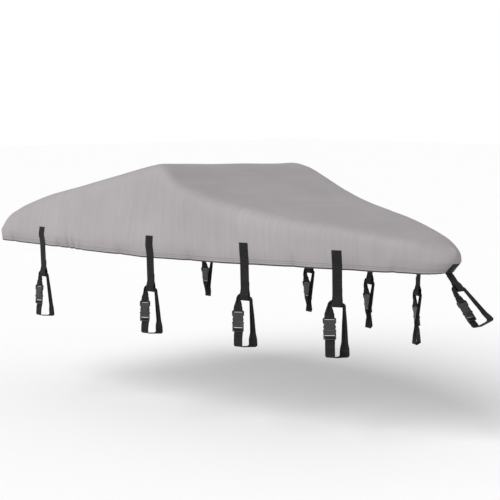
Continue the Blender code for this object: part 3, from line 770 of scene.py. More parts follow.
# ---------------------------------------------------------------- the pattern as a surface
class Pattern:
    """The cutting pattern as a surface over hem length and girth."""

    steps: int = 20

    def __init__(self) -> None:
        """Measure the hem, sampled between the pattern's lines."""
        self.lines = [np.array(line) for line in PATTERN]
        self.flip = np.array([-1.0 if name.endswith("_y") else 1.0 for name in PatternLine._fields])
        self.place = np.arange((len(self.lines) - 1) * self.steps + 1) / self.steps
        self.hem = np.array([self.hem_point(p) for p in self.place])
        self.length = walked(self.hem)
        self.hem_length = float(self.length[-1])

    def line_at(self, p: float) -> PatternLine:
        """A line of the pattern, also between the given ones.

        Args:
            p: fractional row, from 0 at the nose to the last row at the tail.

        Returns:
            The line.
        """
        i = min(int(p), len(self.lines) - 2)
        before = self.lines[i - 1] if i > 0 else self.lines[1] * self.flip
        after = self.lines[i + 2] if i + 2 < len(self.lines) else self.lines[-2] * self.flip
        return PatternLine(*catmull(before, self.lines[i], self.lines[i + 1], after, p - i))

    def hem_point(self, p: float) -> np.ndarray:
        """Point of the hem at a fractional row."""
        return np.array(self.line_at(p)[:3])

    def row_at(self, length: float) -> float:
        """Fractional row at a length along the hem."""
        return float(np.interp(length, self.length, self.place))

    def length_at(self, x: float) -> float:
        """Hem length where the side's hem passes x."""
        return float(np.interp(-x, -self.hem[:, 0], self.length))

    def rib(self, p: float) -> list[list[np.ndarray]]:
        """Stretches of one pattern line, from the hem up to the ridge.

        Args:
            p: fractional row.

        Returns:
            Five runs of points: skirt, belt, side, shoulder and top.
        """
        line = self.line_at(p)
        hem, belt, crease = np.array(line[0:3]), np.array(line[3:6]), np.array(line[6:9])
        ridge = np.array([line.ridge_x, 0.0, line.ridge_z])
        low, over = belt * 0.7 + hem * 0.3, belt * 0.84 + crease * 0.16
        under = crease * 0.8 + belt * 0.2
        reach = min(0.35, 0.10 / max(float(np.linalg.norm(ridge - crease)), 1e-6))
        inner = crease + (ridge - crease) * reach
        top = []
        for t in np.linspace(0.0, 1.0, 19):
            point = inner + (ridge - inner) * t
            point[2] = inner[2] + (ridge[2] - inner[2]) * (1.0 - (1.0 - t) ** 2)
            top.append(point)
        return [[hem, low], bow_through(low, belt, over, 12), [over, under],
                bow_through(under, crease, inner, 16), top]


@dataclass
class CoverSheet:
    """The sewn sheet: a taut top and sides over an elastic hem with two rows of stitches."""

    pattern: Pattern
    columns: int = 384
    skirt_rows: tuple[float, ...] = (0.0, 0.003, 0.007, 0.012, 0.017, 0.021, 0.0235, 0.026, 0.031,
                                     0.035, 0.0375, 0.040, 0.045, 0.053, 0.064, 0.077)
    run_rows: tuple[int, ...] = (1, 6, 10, 9, 12)
    girth_steps: int = 261
    softness: float = 0.070
    front_softness: float = 0.6
    front_end: float = -2.15
    shoulder_reach: float = 0.22
    nose_kept: float = 0.40
    tail_kept: float = 0.35
    seams: tuple[float, float] = (0.0235, 0.0375)
    seam_depth: float = 0.0009
    band: float = 0.0011
    band_height: float = 0.0365
    bead: float = 0.0021
    bead_height: float = 0.0065
    gather_pitch: float = 0.043
    gather_depth: float = 0.0017
    gather_reach: float = 0.085
    pinch: float = 0.011
    unevenness: tuple[Flat, ...] = ((0.0019, 2.6), (0.0007, 8.0))
    map_name: str = "ClothMap"
    crease_name: str = "gather_shade"
    skirt: dict[Side, np.ndarray] = field(default_factory=dict)

    def kept_shoulder(self, s: float) -> float:
        """How much of the shoulder's height is kept: less at nose and tail.

        Args:
            s: hem length.

        Returns:
            The share, from 0 to 1.
        """
        nose = smooth_step(s / 0.35)
        tail = smooth_step((self.pattern.hem_length - s - 0.45) / 0.6)
        return float((self.nose_kept + (1.0 - self.nose_kept) * nose)
                     * (self.tail_kept + (1.0 - self.tail_kept) * tail))

    def relax(self, column: np.ndarray, walk: np.ndarray, crease: int, pull: float,
              softness: float) -> np.ndarray:
        """Round one column's corners as taut cloth does, from the hem band up.

        Args:
            column: points from the hem to the ridge, evenly spaced.
            walk: girth of each point.
            crease: index of the shoulder.
            pull: how much of the shoulder's height is kept, from 0 to 1.
            softness: spread of the rounding.

        Returns:
            The rounded points.
        """
        path = np.concatenate((column, column[-2::-1] * (1.0, -1.0, 1.0)))
        reach = np.concatenate((walk, 2.0 * walk[-1] - walk[-2::-1]))
        wide = walk[-1] - walk[crease]
        top = 0.45 + 0.55 * min(1.0, wide / 0.35)
        spread = softness * smooth_step((walk - 0.045) / 0.10)
        spread = spread * (1.0 - (1.0 - top) * smooth_step((walk - walk[crease]) / wide))
        weight = np.exp(-0.5 * ((reach[None, :] - walk[:, None]) / np.maximum(spread[:, None], 1e-4)) ** 2)
        soft = weight @ path / weight.sum(axis=1, keepdims=True)
        lift = (column[crease] - soft[crease]) * pull
        near, far = (hill(at, walk[crease], self.shoulder_reach) for at in (walk, 2.0 * walk[-1] - walk))
        even = (near + far) / (1.0 + far[crease])
        odd = (near - far) / max(1.0 - far[crease], 0.4)
        return soft + np.stack((even, odd, even), axis=1) * lift

    def lay_out(self) -> tuple[np.ndarray, np.ndarray, np.ndarray]:
        """Lay the left half's inner face out on the pattern.

        Returns:
            The points, rows by columns by 3, and each point's hem length and girth.
        """
        lengths = np.linspace(0.0, self.pattern.hem_length, self.columns + 1)
        crown = self.pattern.length_at(self.front_end)
        columns, girths = [], []
        for s in lengths:
            runs = [np.array(run) for run in self.pattern.rib(self.pattern.row_at(s))]
            ends = np.cumsum([0.0] + [walked(run)[-1] for run in runs])
            path = np.concatenate([run[min(k, 1):] for k, run in enumerate(runs)])
            walk, trodden = np.linspace(0.0, ends[-1], self.girth_steps), walked(path)
            even = look_up(walk / ends[-1] * trodden[-1], trodden, path).T
            crease = int(np.searchsorted(walk, 0.5 * (ends[3] + ends[4])))
            front = smooth_step((crown - s) / 0.5) * smooth_step((s - 0.5) / 0.5)
            softness = self.softness * (1.0 + self.front_softness * front)
            even = self.relax(even, walk, crease, self.kept_shoulder(s), softness)
            stations = list(self.skirt_rows)
            for k, count in enumerate(self.run_rows):
                first = stations[-1] if k == 0 else ends[k]
                stations += list(first + (ends[k + 1] - first) * np.arange(1, count + 1) / count)
            columns.append(look_up(stations, walk, even).T)
            girths.append(stations)
        girth = np.array(girths).T
        return np.array(columns).transpose(1, 0, 2) - CROWN, np.broadcast_to(lengths, girth.shape), girth

    def outward(self, points: np.ndarray) -> np.ndarray:
        """Outward normals of the left half, level with the centre line where they meet it.

        Args:
            points: the inner face.

        Returns:
            A normal for each point.
        """
        normal = np.cross(np.gradient(points, axis=1), np.gradient(points, axis=0))
        normal[-1, :, 1] = normal[:, 0, 1] = normal[:, -1, 1] = 0.0
        return normal / np.maximum(np.linalg.norm(normal, axis=2, keepdims=True), 1e-12)

    def draw_in(self, length: np.ndarray, height: np.ndarray) -> np.ndarray:
        """How far the elastic draws the skirt in, the same on both sides.

        Args:
            length: hem length of each point.
            height: height of each point above the frame of the hem.

        Returns:
            The depth at each point.
        """
        depth = sum(wave.depth * np.sin(wave.rate * length + wave.phase) for wave in SLACK)
        depth = depth * smooth_step(length / 0.3) * fade(height, 0.14)
        for fold in FOLDS:
            s = self.pattern.length_at(fold.x)
            wide = hill(length, s, 0.5 * fold.width) * fade(height, fold.reach)
            narrow = hill(length - 0.05 * height, s, self.pinch) * fade(height, 1.25 * fold.reach)
            depth = depth + fold.depth * wide + 0.55 * fold.depth * narrow
        return depth

    def gathers(self, side: Side, length: np.ndarray, girth: np.ndarray) -> np.ndarray:
        """Small gathers that fan up from the hem, each side with its own.

        Args:
            side: which half.
            length: hem length of each point.
            girth: girth of each point.

        Returns:
            The relief at each point.
        """
        signed = side.value * length[0]
        drift = np.array([noise.noise(Vector((1.9 * s, 4.7, 0.3))) for s in signed])
        power = np.array([0.55 + 0.65 * noise.noise(Vector((7.3 * s, 1.1, 8.2))) for s in signed])
        ends = smooth_step((self.pattern.hem_length - length[0]) / 0.08)
        wave = np.sin(2.0 * math.pi * signed / self.gather_pitch + 3.4 * drift)
        second = np.sin(2.0 * math.pi * signed / (0.62 * self.gather_pitch) + 5.0 * drift + 1.0)
        crest = (wave + 0.35 * second) * power * ends
        return self.gather_depth * crest[None, :] * fade(girth, self.gather_reach)

    def relief(self, side: Side, points: np.ndarray, length: np.ndarray,
               girth: np.ndarray) -> tuple[np.ndarray, np.ndarray]:
        """Outward relief of one half.

        Args:
            side: which half.
            points: its inner face.
            length: hem length of each point.
            girth: girth of each point.

        Returns:
            The relief, and how deep in a gather each point lies, from 0 to 1, which the cloth paints as
            shade.
        """
        keep = smooth_step((length[0] - 0.5 * WEB_W) / 0.04)
        for strap in STRAPS:
            aside = np.abs(length[0] - self.pattern.length_at(strap.x)) - 0.5 * WEB_W - 0.004
            keep = np.minimum(keep, smooth_step(aside / 0.05))
        height = points[:, :, 2] + CROWN[2]
        drawn, gather = self.draw_in(length, height), self.gathers(side, length, girth)
        broad = np.array([[sum(rise * noise.noise(Vector(p) * rate) for rise, rate in self.unevenness)
                           for p in row] for row in points])
        above_tabs = smooth_step((girth - 0.20) / 0.06)
        broad *= np.maximum(keep[None, :], above_tabs) * (0.3 + 0.7 * smooth_step(girth / 0.12))
        hem = self.band * fade(girth - self.band_height, 0.0025)
        hem = hem + self.bead * hill(girth, self.bead_height, 0.0045)
        for seam in self.seams:
            hem = hem - self.seam_depth * hill(girth, seam, 0.0016)
        uneven = np.zeros(girth.shape)
        for dent in DENTS:
            patch = hill(points[:, :, 0], dent.x, dent.long) * hill(points[:, :, 1], dent.y, dent.wide)
            uneven += dent.rise * patch * smooth_step((height - 0.3) / 0.2)
        shadow = np.clip((drawn + np.maximum(0.0, -2.0 * gather)) / 0.013, 0.0, 1.0) * keep
        return keep * (gather - drawn) + broad + hem + uneven, shadow

    def build(self) -> Object:
        """Make both halves, join them at the centre line and give the cloth its thickness.

        Returns:
            The sheet.
        """
        points, length, girth = self.lay_out()
        normal = self.outward(points)
        whole = bmesh.new()
        whole.loops.layers.uv.new(self.map_name)
        whole.verts.layers.float.new(self.crease_name)
        skirt = slice(len(self.skirt_rows))
        for side in Side:
            flip = (1, side.value, 1)
            relief, shadow = self.relief(side, points * flip, length, girth)
            half = (points + normal * relief[:, :, None]) * flip
            self.skirt[side] = half[skirt] + normal[skirt] * flip * CLOTH
            bm = grid_strip(half, length, girth, self.map_name, {self.crease_name: shadow})
            if side is Side.RIGHT:
                bmesh.ops.reverse_faces(bm, faces=bm.faces)
            mesh = bpy.data.meshes.new("half")
            bm.to_mesh(mesh)
            bm.free()
            whole.from_mesh(mesh)
            bpy.data.meshes.remove(mesh)
        bmesh.ops.remove_doubles(whole, verts=whole.verts, dist=1e-5)
        top = max(whole.faces, key=lambda f: f.calc_center_median().z)
        if top.normal.z < 0.0:
            bmesh.ops.reverse_faces(whole, faces=whole.faces)
        obj = new_object("sewn_cover", whole)
        modify(obj, "cloth", "SOLIDIFY", thickness=CLOTH, offset=1.0, use_even_offset=True)
        bake(obj)
        return shade(obj, 50.0)

    def seam_line(self, side: Side, seam: float) -> tuple[np.ndarray, np.ndarray]:
        """One row of stitches on the outer face, nose to tail, and the face's normals there."""
        line = self.skirt[side][self.skirt_rows.index(seam)]
        return line, np.cross(np.gradient(line, axis=0), line - self.skirt[side][4]) * side.value


# ---------------------------------------------------------------- places of the straps
@dataclass(frozen=True)
class Place:
    """Where a strap hangs: the centre of its eye, its three directions and its loop's length."""

    name: str
    eye: np.ndarray
    across: np.ndarray
    out: np.ndarray
    up: np.ndarray
    loop: float
    swing: float
    top: float

    def turn(self, v: Sequence[float]) -> np.ndarray:
        """A direction from across, out and up to the model's frame."""
        return self.across * v[0] + self.out * v[1] + self.up * v[2]

    def world(self, x: float, y: float, z: float) -> np.ndarray:
        """A point from across, out and up of the eye to the model's frame."""
        return self.eye + self.turn((x, y, z))


@dataclass(frozen=True)
class Leg:
    """A leg of a tie-down in across, out and up of its eye: its top, and its own three directions."""

    top: np.ndarray
    across: np.ndarray
    out: np.ndarray
    up: np.ndarray

    @classmethod
    def between(cls, top: np.ndarray, foot: np.ndarray) -> "Leg":
        """The leg from a foot up to its top.

        Args:
            top: its top.
            foot: its foot.

        Returns:
            The leg, its third direction outward.
        """
        up = unit(top - foot)
        across = unit(X_AXIS - up * up[0])
        out = np.cross(up, across)
        return cls(top, across, out if out[1] > 0.0 else -out, up)

    def at(self, distance: float, depth: float = 0.0) -> np.ndarray:
        """The point at a distance down the leg and a depth outward of it."""
        return self.top - self.up * distance + self.out * depth


@dataclass(frozen=True)
class StrapLayout:
    """Sizes that the tabs, the tie-downs and the buckles share."""

    tab_drop: float = 0.235
    eye_height: float = 0.056
    eye_depth: float = 0.0215
    eye_lap: float = 0.055
    eye_off: float = 0.001
    turn_radius: float = 0.030
    turn_rise: float = 0.008
    rear_radius: float = 0.014
    rear_drop: float = 0.008
    bend_radius: float = 0.012
    front_x: Flat = (-0.062, -0.042)
    rear_x: Flat = (0.0515, 0.044)
    swings: Flat = (0.031, -0.046)
    nose_loop: float = 0.324
    nose_sewn: float = 0.100
    nose_drop: float = 0.140
    nose_dip: float = 47.0

    def side_place(self, pattern: Pattern, strap: StrapSpec) -> Place:
        """Place of a strap on the right side.

        Args:
            pattern: the cutting pattern.
            strap: the strap.

        Returns:
            The place.
        """
        centre = pattern.length_at(strap.x)
        ahead, behind = (pattern.hem_point(pattern.row_at(centre + part * WEB_W)) for part in (-0.5, 0.5))
        middle = 0.5 * (ahead + behind)
        across = unit(np.array([ahead[0] - behind[0], behind[1] - ahead[1], 0.0]))
        out = np.array([across[1], -across[0], 0.0])
        eye = np.array([middle[0], -middle[1], -self.tab_drop]) - CROWN + out * self.eye_off
        loop = strap.foot - self.tab_drop
        return Place("right_" + strap.name, eye, across, out, Z_AXIS, loop, 1.0, strap.top)

    def nose_place(self, pattern: Pattern) -> Place:
        """Place of the nose's strap, which points forward and down.

        Args:
            pattern: the cutting pattern.

        Returns:
            The place.
        """
        dip = math.radians(self.nose_dip)
        up = np.array([-math.cos(dip), 0.0, math.sin(dip)])
        out = np.array([math.sin(dip), 0.0, math.cos(dip)])
        eye = pattern.hem_point(0.0) - CROWN - up * self.nose_drop
        return Place("nose", eye, Y_AXIS, out, up, self.nose_loop, -1.0, self.nose_sewn)

    def ends(self, place: Place) -> tuple[np.ndarray, np.ndarray, np.ndarray, np.ndarray]:
        """Ends of a loop's two legs.

        Args:
            place: where the strap hangs.

        Returns:
            Top and foot of the front leg, then of the rear leg, in across, out and up.
        """
        low = self.bend_radius - place.loop
        front, rear = (swing * place.swing for swing in self.swings)
        return (np.array([self.front_x[0], 0.0, -self.turn_radius]), np.array([self.front_x[1], front, low]),
                np.array([self.rear_x[0], 0.0, -(self.rear_drop + self.rear_radius)]),
                np.array([self.rear_x[1], rear, low]))

    def front_leg(self, place: Place) -> Leg:
        """The front leg, which carries the buckle."""
        return Leg.between(*self.ends(place)[:2])

    def leg_matrix(self, place: Place) -> Matrix:
        """Matrix of the front leg's own frame.

        Args:
            place: where the strap hangs.

        Returns:
            The matrix: x across, y inward, z up the leg, origin at the strap's turn.
        """
        leg = self.front_leg(place)
        columns = (place.turn(leg.across), -place.turn(leg.out), place.turn(leg.up), place.world(*leg.top))
        return Matrix([[column[k] for column in columns] for k in range(3)] + [[0, 0, 0, 1]])


@dataclass(frozen=True)
class BuckleSizes:
    """Sizes of the side-release buckle, in the front leg's frame."""

    width: float = 0.100
    thickness: float = 0.018
    socket_length: float = 0.100
    socket_bar: float = 0.0080
    socket_slot: float = 0.0110
    strap_slot: float = 0.0058
    socket_at: float = 0.078
    ladder_width: float = 0.096
    ladder_length: float = 0.060
    ladder_thickness: float = 0.0095
    bar: float = 0.0070
    ladder_slot: float = 0.0115
    upper_slot: float = 0.0070
    slot_width: float = 0.081
    waist_at: float = 0.064
    waist_radius: float = 0.036
    waist_depth: float = 0.0125

    @property
    def mouth(self) -> float:
        """Distance from the strap's turn down to the socket's mouth."""
        return self.socket_at + self.socket_length


# ---------------------------------------------------------------- webbing
@dataclass(frozen=True)
class Ribbon:
    """A length of webbing through rows of points."""

    map_name: str = "WebbingMap"
    rim: float = 0.00035

    def build(self, name: str, rows: np.ndarray) -> Object:
        """Make the webbing as thick as it is about those rows.

        Args:
            name: name of the object.
            rows: points, rows along by columns across by 3.

        Returns:
            The piece, with a map in metres across and along.
        """
        along = np.broadcast_to(walked(rows.mean(axis=1))[:, None], rows.shape[:2])
        across = np.broadcast_to(np.linspace(0.0, WEB_W, rows.shape[1]), rows.shape[:2])
        obj = new_object(name, grid_strip(rows, across, along, self.map_name))
        modify(obj, "webbing", "SOLIDIFY", thickness=WEB, offset=0.0, use_even_offset=True,
               thickness_clamp=0.0)
        soften(obj, "selvedge", self.rim, 2, 60.0)
        face_out(obj)
        return shade(obj, 55.0)


@dataclass(frozen=True)
class SewnTab:
    """A tab sewn on the skirt, with its free end folded into an eye."""

    layout: StrapLayout
    columns: int = 8
    pitch: float = 0.006
    lift: float = GAP + 0.0005 + 0.5 * WEB
    hem_stop: float = 0.006
    first_step: float = 0.012

    @property
    def span(self) -> np.ndarray:
        """Places of the columns across the tab."""
        return WEB_W * (np.arange(self.columns + 1) / self.columns - 0.5)

    def laid(self, starts: Iterable[np.ndarray], out: np.ndarray, skin: BVHTree) -> np.ndarray:
        """A row of points laid just off the cloth, sought inward from starts outside it."""
        hits = (skin.ray_cast(Vector(start), -Vector(out))[0] for start in starts)
        return np.array([np.array(hit) + out * self.lift for hit in hits])

    def rows(self, place: Place, skin: BVHTree, pattern: Pattern) -> np.ndarray:
        """All rows of the tab.

        Args:
            place: where the strap hangs.
            skin: a search tree of the sheet's faces.
            pattern: the cutting pattern.

        Returns:
            Points from its top on the skirt to the end of the eye's lap, rows by columns by 3.
        """
        rows = (self.nose_rows if place.name == "nose" else self.side_rows)(place, skin, pattern)
        flat = [np.array([place.world(x, b, c) for x in self.span]) for b, c in self.eye_path()]
        count = max(2, int(np.linalg.norm(flat[0][0] - rows[-1][0]) / (2.0 * self.pitch)))
        drop = [rows[-1] + (flat[0] - rows[-1]) * t for t in np.arange(1, count) / count]
        return np.array((rows[:-1] if place.name == "nose" else rows) + drop + flat)

    def side_rows(self, place: Place, skin: BVHTree, pattern: Pattern) -> list[np.ndarray]:
        """Rows of a side tab, laid on the skirt down to the hem.

        Args:
            place: where the strap hangs.
            skin: a search tree of the sheet's faces.
            pattern: the cutting pattern.

        Returns:
            The rows, from the top down.
        """
        hem_z = float(np.interp(-(place.eye[0] + CROWN[0]), -pattern.hem[:, 0], pattern.hem[:, 2])) - CROWN[2]
        count = int((place.top - self.hem_stop) / self.pitch) + 1
        rows = []
        for height in np.linspace(place.top, self.hem_stop, count):
            feet = [place.eye + place.across * x for x in self.span]
            starts = [np.array([foot[0], foot[1], height + hem_z]) + place.out * 0.5 for foot in feet]
            rows.append(self.laid(starts, place.out, skin))
        return rows

    def nose_rows(self, place: Place, skin: BVHTree, pattern: Pattern) -> list[np.ndarray]:
        """Rows of the nose's tab, which turns at the hem and points forward and down.

        Args:
            place: where the strap hangs.
            skin: a search tree of the sheet's faces.
            pattern: the cutting pattern.

        Returns:
            The rows, from the top down.
        """
        hem = pattern.hem_point(0.0) - CROWN
        slope = unit(np.array(PATTERN[0][3:6]) - CROWN - hem)
        off = np.array([slope[2], 0.0, -slope[0]])
        low = self.layout.nose_sewn - self.first_step
        rows = []
        for reach in (self.layout.nose_sewn, low, 0.78 * low, 0.55 * low, 0.30 * low):
            starts = [hem + slope * reach + Y_AXIS * y + off * 0.3 for y in self.span]
            rows.append(self.laid(starts, off, skin))
        curl = rows[-1][:, 0] - rows[-1][self.columns // 2, 0]
        bend = hem + slope * 0.004 + off * (self.lift + 0.0015)
        for centre, keep in ((bend + slope * 0.002, 0.5), (bend - slope * 0.004 + off * 0.004, 0.2),
                             (bend - slope * 0.002 + off * 0.012 - place.up * 0.002, 0.0)):
            rows.append(centre + np.outer(curl * keep, X_AXIS) + np.outer(self.span, Y_AXIS))
        return rows

    def eye_path(self) -> list[np.ndarray]:
        """The free end's line in outward and upward: down, round the eye and up behind itself.

        Returns:
            Points of the line, from the skirt's side to the end of the lap.
        """
        half, drop = 0.5 * self.layout.eye_depth + 0.5 * WEB, 0.5 * self.layout.eye_height
        back = 0.0005 - (WEB + GAP)
        side = [(half, drop - 0.008), (half, -drop + half * 0.9), (half * 0.86, -drop + half * 0.35),
                (half * 0.40, -drop)]
        corners = [(0.0005, drop + 0.030), (half * 0.55, drop + 0.010), *side, *mirrored(side),
                   (-half * 0.65, drop + 0.010), (back, drop + 0.030),
                   (back, drop + 0.030 + self.layout.eye_lap)]
        return rounded_path(corners, [0.020] * 2 + [0.008] * 6 + [0.020, 0.020, 0.015], 0.006)


@dataclass(frozen=True)
class TieDown:
    """A strap gathered in a tab's eye, sewn to the socket and threaded through the insert."""

    layout: StrapLayout
    buckle: BuckleSizes
    columns: int = 32
    top_pleat: float = 66.0
    gather: tuple[Flat, ...] = ((-0.010, 66.0), (0.0, 58.0), (0.018, 43.0), (0.035, 30.0), (0.050, 12.0),
                                (0.060, 0.0))
    rear_pleat: tuple[Flat, ...] = ((0.0, 74.0), (0.030, 73.0), (0.075, 66.0), (0.118, 60.0), (0.198, 53.0),
                                    (0.278, 46.0), (0.400, 36.0))
    fillet: float = 0.0024
    shoulder: float = 0.0067
    corner: float = 0.0023
    lap: float = 0.034
    pleats_from: float = 0.060
    tail_off: float = 0.0034
    closest: float = 0.0006

    def row(self, centre: np.ndarray, across: np.ndarray, out: np.ndarray,
            degrees: float = 0.0, ahead: float = 0.0) -> np.ndarray:
        """One row of the strap, pleated with its length of cloth kept.

        Args:
            centre: the middle of the row, in across, out and up of the eye.
            across: the direction across the strap.
            out: the direction that its pleats stand in.
            degrees: steepness of the pleats.
            ahead: how far the pleats move outward, from 0 to 1.

        Returns:
            The row's points.
        """
        u = np.linspace(0.0, 1.0, self.columns + 1)
        slope = math.radians(degrees) * 1.43 * np.sin(4.0 * math.pi * 0.5 * (u[1:] + u[:-1]))
        step = WEB_W / self.columns
        x, y = (np.concatenate(([0.0], np.cumsum(part(slope) * step))) for part in (np.cos, np.sin))
        rise = y - 0.5 * (y.max() + y.min())
        rise = rise - rise.min() * ahead
        return centre + np.outer(x - 0.5 * x[-1], across) + np.outer(rise, out)

    def front(self, leg: Leg) -> list[np.ndarray]:
        """Rows from the lap behind the socket's bar, up the front leg and into the eye.

        Args:
            leg: the front leg.

        Returns:
            The rows.
        """
        bar, half = self.buckle.socket_at + 0.5 * self.buckle.socket_bar, 0.5 * self.buckle.socket_bar
        behind, first = -(WEB + GAP), self.pleats_from
        wrap = [(bar - self.lap, behind), (bar - self.lap + 0.010, behind),
                (bar - half + 0.0001, -self.shoulder), (bar + half + self.corner, -self.shoulder),
                (bar + half + self.corner, self.shoulder), (bar - half + 0.0001, self.shoulder),
                (bar - 0.020, 0.0), (first, 0.0)]
        path = rounded_path(wrap, [0.010, 0.005, self.fillet, self.fillet, 0.005, 0.010])
        rows = [self.row(leg.at(d, b), leg.across, leg.out) for d, b in path]
        depths, pleats = zip(*self.gather)
        for d in np.linspace(first, -self.layout.turn_rise, 24)[1:]:
            lean = smooth_step((0.050 - d) / 0.050)
            rows.append(self.row(leg.at(d), unit(leg.across * (1.0 - lean) + X_AXIS * lean),
                                 unit(leg.out * (1.0 - lean) + Y_AXIS * lean),
                                 float(np.interp(d, depths, pleats)), smooth_step((d - 0.030) / 0.014)))
        return rows

    def passage(self, top_f: np.ndarray, top_r: np.ndarray) -> list[np.ndarray]:
        """Rows over the front turn, through the eye and over the rear turn.

        Args:
            top_f: top of the front leg.
            top_r: top of the rear leg.

        Returns:
            The rows.
        """
        lay = self.layout
        hub_f = top_f + X_AXIS * lay.turn_radius + Z_AXIS * lay.turn_rise
        hub_r = top_r - X_AXIS * lay.rear_radius
        fall = math.atan2(hub_f[2] + lay.turn_radius - hub_r[2] - lay.rear_radius, hub_r[0] - hub_f[0])
        keys = []
        for hub, radius, angles in ((hub_f, lay.turn_radius, np.linspace(-0.5 * math.pi, fall, 9)[1:]),
                                    (hub_r, lay.rear_radius, np.linspace(fall, 0.5 * math.pi, 9))):
            keys += [(hub + (X_AXIS * math.sin(a) + Z_AXIS * math.cos(a)) * radius, a) for a in angles]
        keys[8:8] = [(keys[7][0] + (keys[8][0] - keys[7][0]) * t, fall) for t in (0.2, 0.4, 0.6, 0.8)]
        rows = []
        for k, (centre, a) in enumerate(keys):
            pleat = self.top_pleat + (self.rear_pleat[0][1] - self.top_pleat) * smooth_step((k - 6) / 6.0)
            rows.append(self.row(centre, -X_AXIS * math.sin(a) - Z_AXIS * math.cos(a), Y_AXIS, pleat))
        return rows

    def rear(self, leg: Leg, length: float) -> list[np.ndarray]:
        """Rows down the rear leg, where the pleats open towards the foot.

        Args:
            leg: the rear leg.
            length: its length.

        Returns:
            The rows.
        """
        depths, pleats = zip(*self.rear_pleat)
        rows = []
        for d in np.linspace(0.0, length, 46)[1:-1]:
            lead, tail = smooth_step(d / 0.040), smooth_step((d - length + 0.080) / 0.080)
            side = unit(X_AXIS * (1.0 - lead) + leg.across * lead) * (1.0 - tail) + X_AXIS * tail
            pleat = float(np.interp(d, depths, pleats)) * (1.0 - smooth_step((d - length + 0.100) / 0.095))
            rows.append(self.row(leg.at(d), -unit(side), unit(Y_AXIS * (1.0 - lead) + leg.out * lead), pleat))
        return rows

    def foot(self, place: Place, foot: np.ndarray, other: np.ndarray, steps: np.ndarray) -> list[np.ndarray]:
        """Rows round one bend at the foot of the loop.

        Args:
            place: where the strap hangs.
            foot: foot of the leg that the bend belongs to.
            other: foot of the other leg.
            steps: steps round the bend, 30 degrees each.

        Returns:
            The rows.
        """
        inward = 1.0 if other[1] > foot[1] else -1.0
        radius = self.layout.bend_radius
        rows = []
        for step in steps:
            a = math.radians(30.0 * step)
            centre = np.array([foot[0] + (other[0] - foot[0]) * 0.04 * step,
                               foot[1] + inward * radius * (1.0 - math.cos(a)),
                               -place.loop + radius * (1.0 - math.sin(a))])
            rows.append(self.row(centre, -X_AXIS, Y_AXIS))
        return rows

    def ladder(self, place: Place, leg: Leg) -> list[np.ndarray]:
        """Rows up behind the lower bar, over the middle bar, back down and out along the tail.

        Args:
            place: where the strap hangs.
            leg: the front leg.

        Returns:
            The rows.
        """
        size = self.buckle
        foot = place.loop - self.layout.bend_radius - self.layout.turn_radius
        low = size.mouth + size.ladder_length - 0.5 * size.bar
        mid, half = low - size.bar - size.ladder_slot, 0.5 * size.bar
        tail = -(self.shoulder + WEB + GAP)
        rise = min(0.026, foot - low - 0.022)
        corners = [(foot, 0.0), (low + rise, -0.0010), (low + half, -self.shoulder),
                   (low - half - 0.0005, -self.shoulder), (mid + half + 0.0005, self.shoulder),
                   (mid - half - self.corner, self.shoulder), (mid - half - self.corner, -self.shoulder),
                   (mid + half + 0.0020, tail), (low + half, tail),
                   (low + rise + 0.002, -self.tail_off - GAP), (low + rise + 0.018, -self.tail_off - GAP)]
        radii = [0.010] + [0.004] * 3 + [self.fillet] * 2 + [0.004] * 2 + [0.006]
        path = rounded_path(corners, radii)[1:]
        return [self.row(leg.at(d, b), leg.across, leg.out)[::-1] for d, b in path]

    def rows(self, place: Place) -> np.ndarray:
        """All rows of the strap.

        Args:
            place: where it hangs.

        Returns:
            Points in the model's frame from the socket's lap to the free tail, rows by columns by 3.
        """
        top_f, foot_f, top_r, foot_r = self.layout.ends(place)
        leg = self.layout.front_leg(place)
        bend = np.linspace(0.0, 3.0, 7)
        rows = self.front(leg) + self.passage(top_f, top_r)
        rows += self.rear(Leg.between(top_r, foot_r), float(np.linalg.norm(top_r - foot_r)))
        rows += self.foot(place, foot_r, foot_f, bend) + self.foot(place, foot_f, foot_r, bend[::-1])
        rows += self.ladder(place, leg)
        kept = [rows[0]]
        for row in rows[1:]:
            if np.abs((row - kept[-1]).mean(axis=0)).max() > self.closest:
                kept.append(row)
        return np.array([[place.world(*p) for p in row] for row in kept])


# ---------------------------------------------------------------- buckles
def cut_box(obj: Object, size: tuple[float, float, float], centre: tuple[float, float, float],
            round_off: float = 0.0) -> None:
    """Cut a box out of an object, its edges along Y rounded where a radius is given.

    Args:
        obj: the object that is cut.
        size: the box's sides.
        centre: the box's centre.
        round_off: radius of the box's corners.
    """
    bm = bmesh.new()
    bmesh.ops.create_cube(bm, size=1.0)
    bmesh.ops.scale(bm, vec=size, verts=bm.verts)
    bmesh.ops.translate(bm, vec=centre, verts=bm.verts)
    if round_off > 0.0:
        corners = [e for e in bm.edges if abs(e.verts[0].co.y - e.verts[1].co.y) > 0.5 * size[1]]
        bmesh.ops.bevel(bm, geom=corners, offset=round_off, offset_type="OFFSET", segments=3,
                        profile=0.5, affect="EDGES", material=-1)
    tool = new_object("cutter", bm)
    modify(obj, "cut", "BOOLEAN", operation="DIFFERENCE", solver="EXACT", object=tool)
    bake(obj)
    mesh = tool.data
    bpy.data.objects.remove(tool, do_unlink=True)
    bpy.data.meshes.remove(mesh)


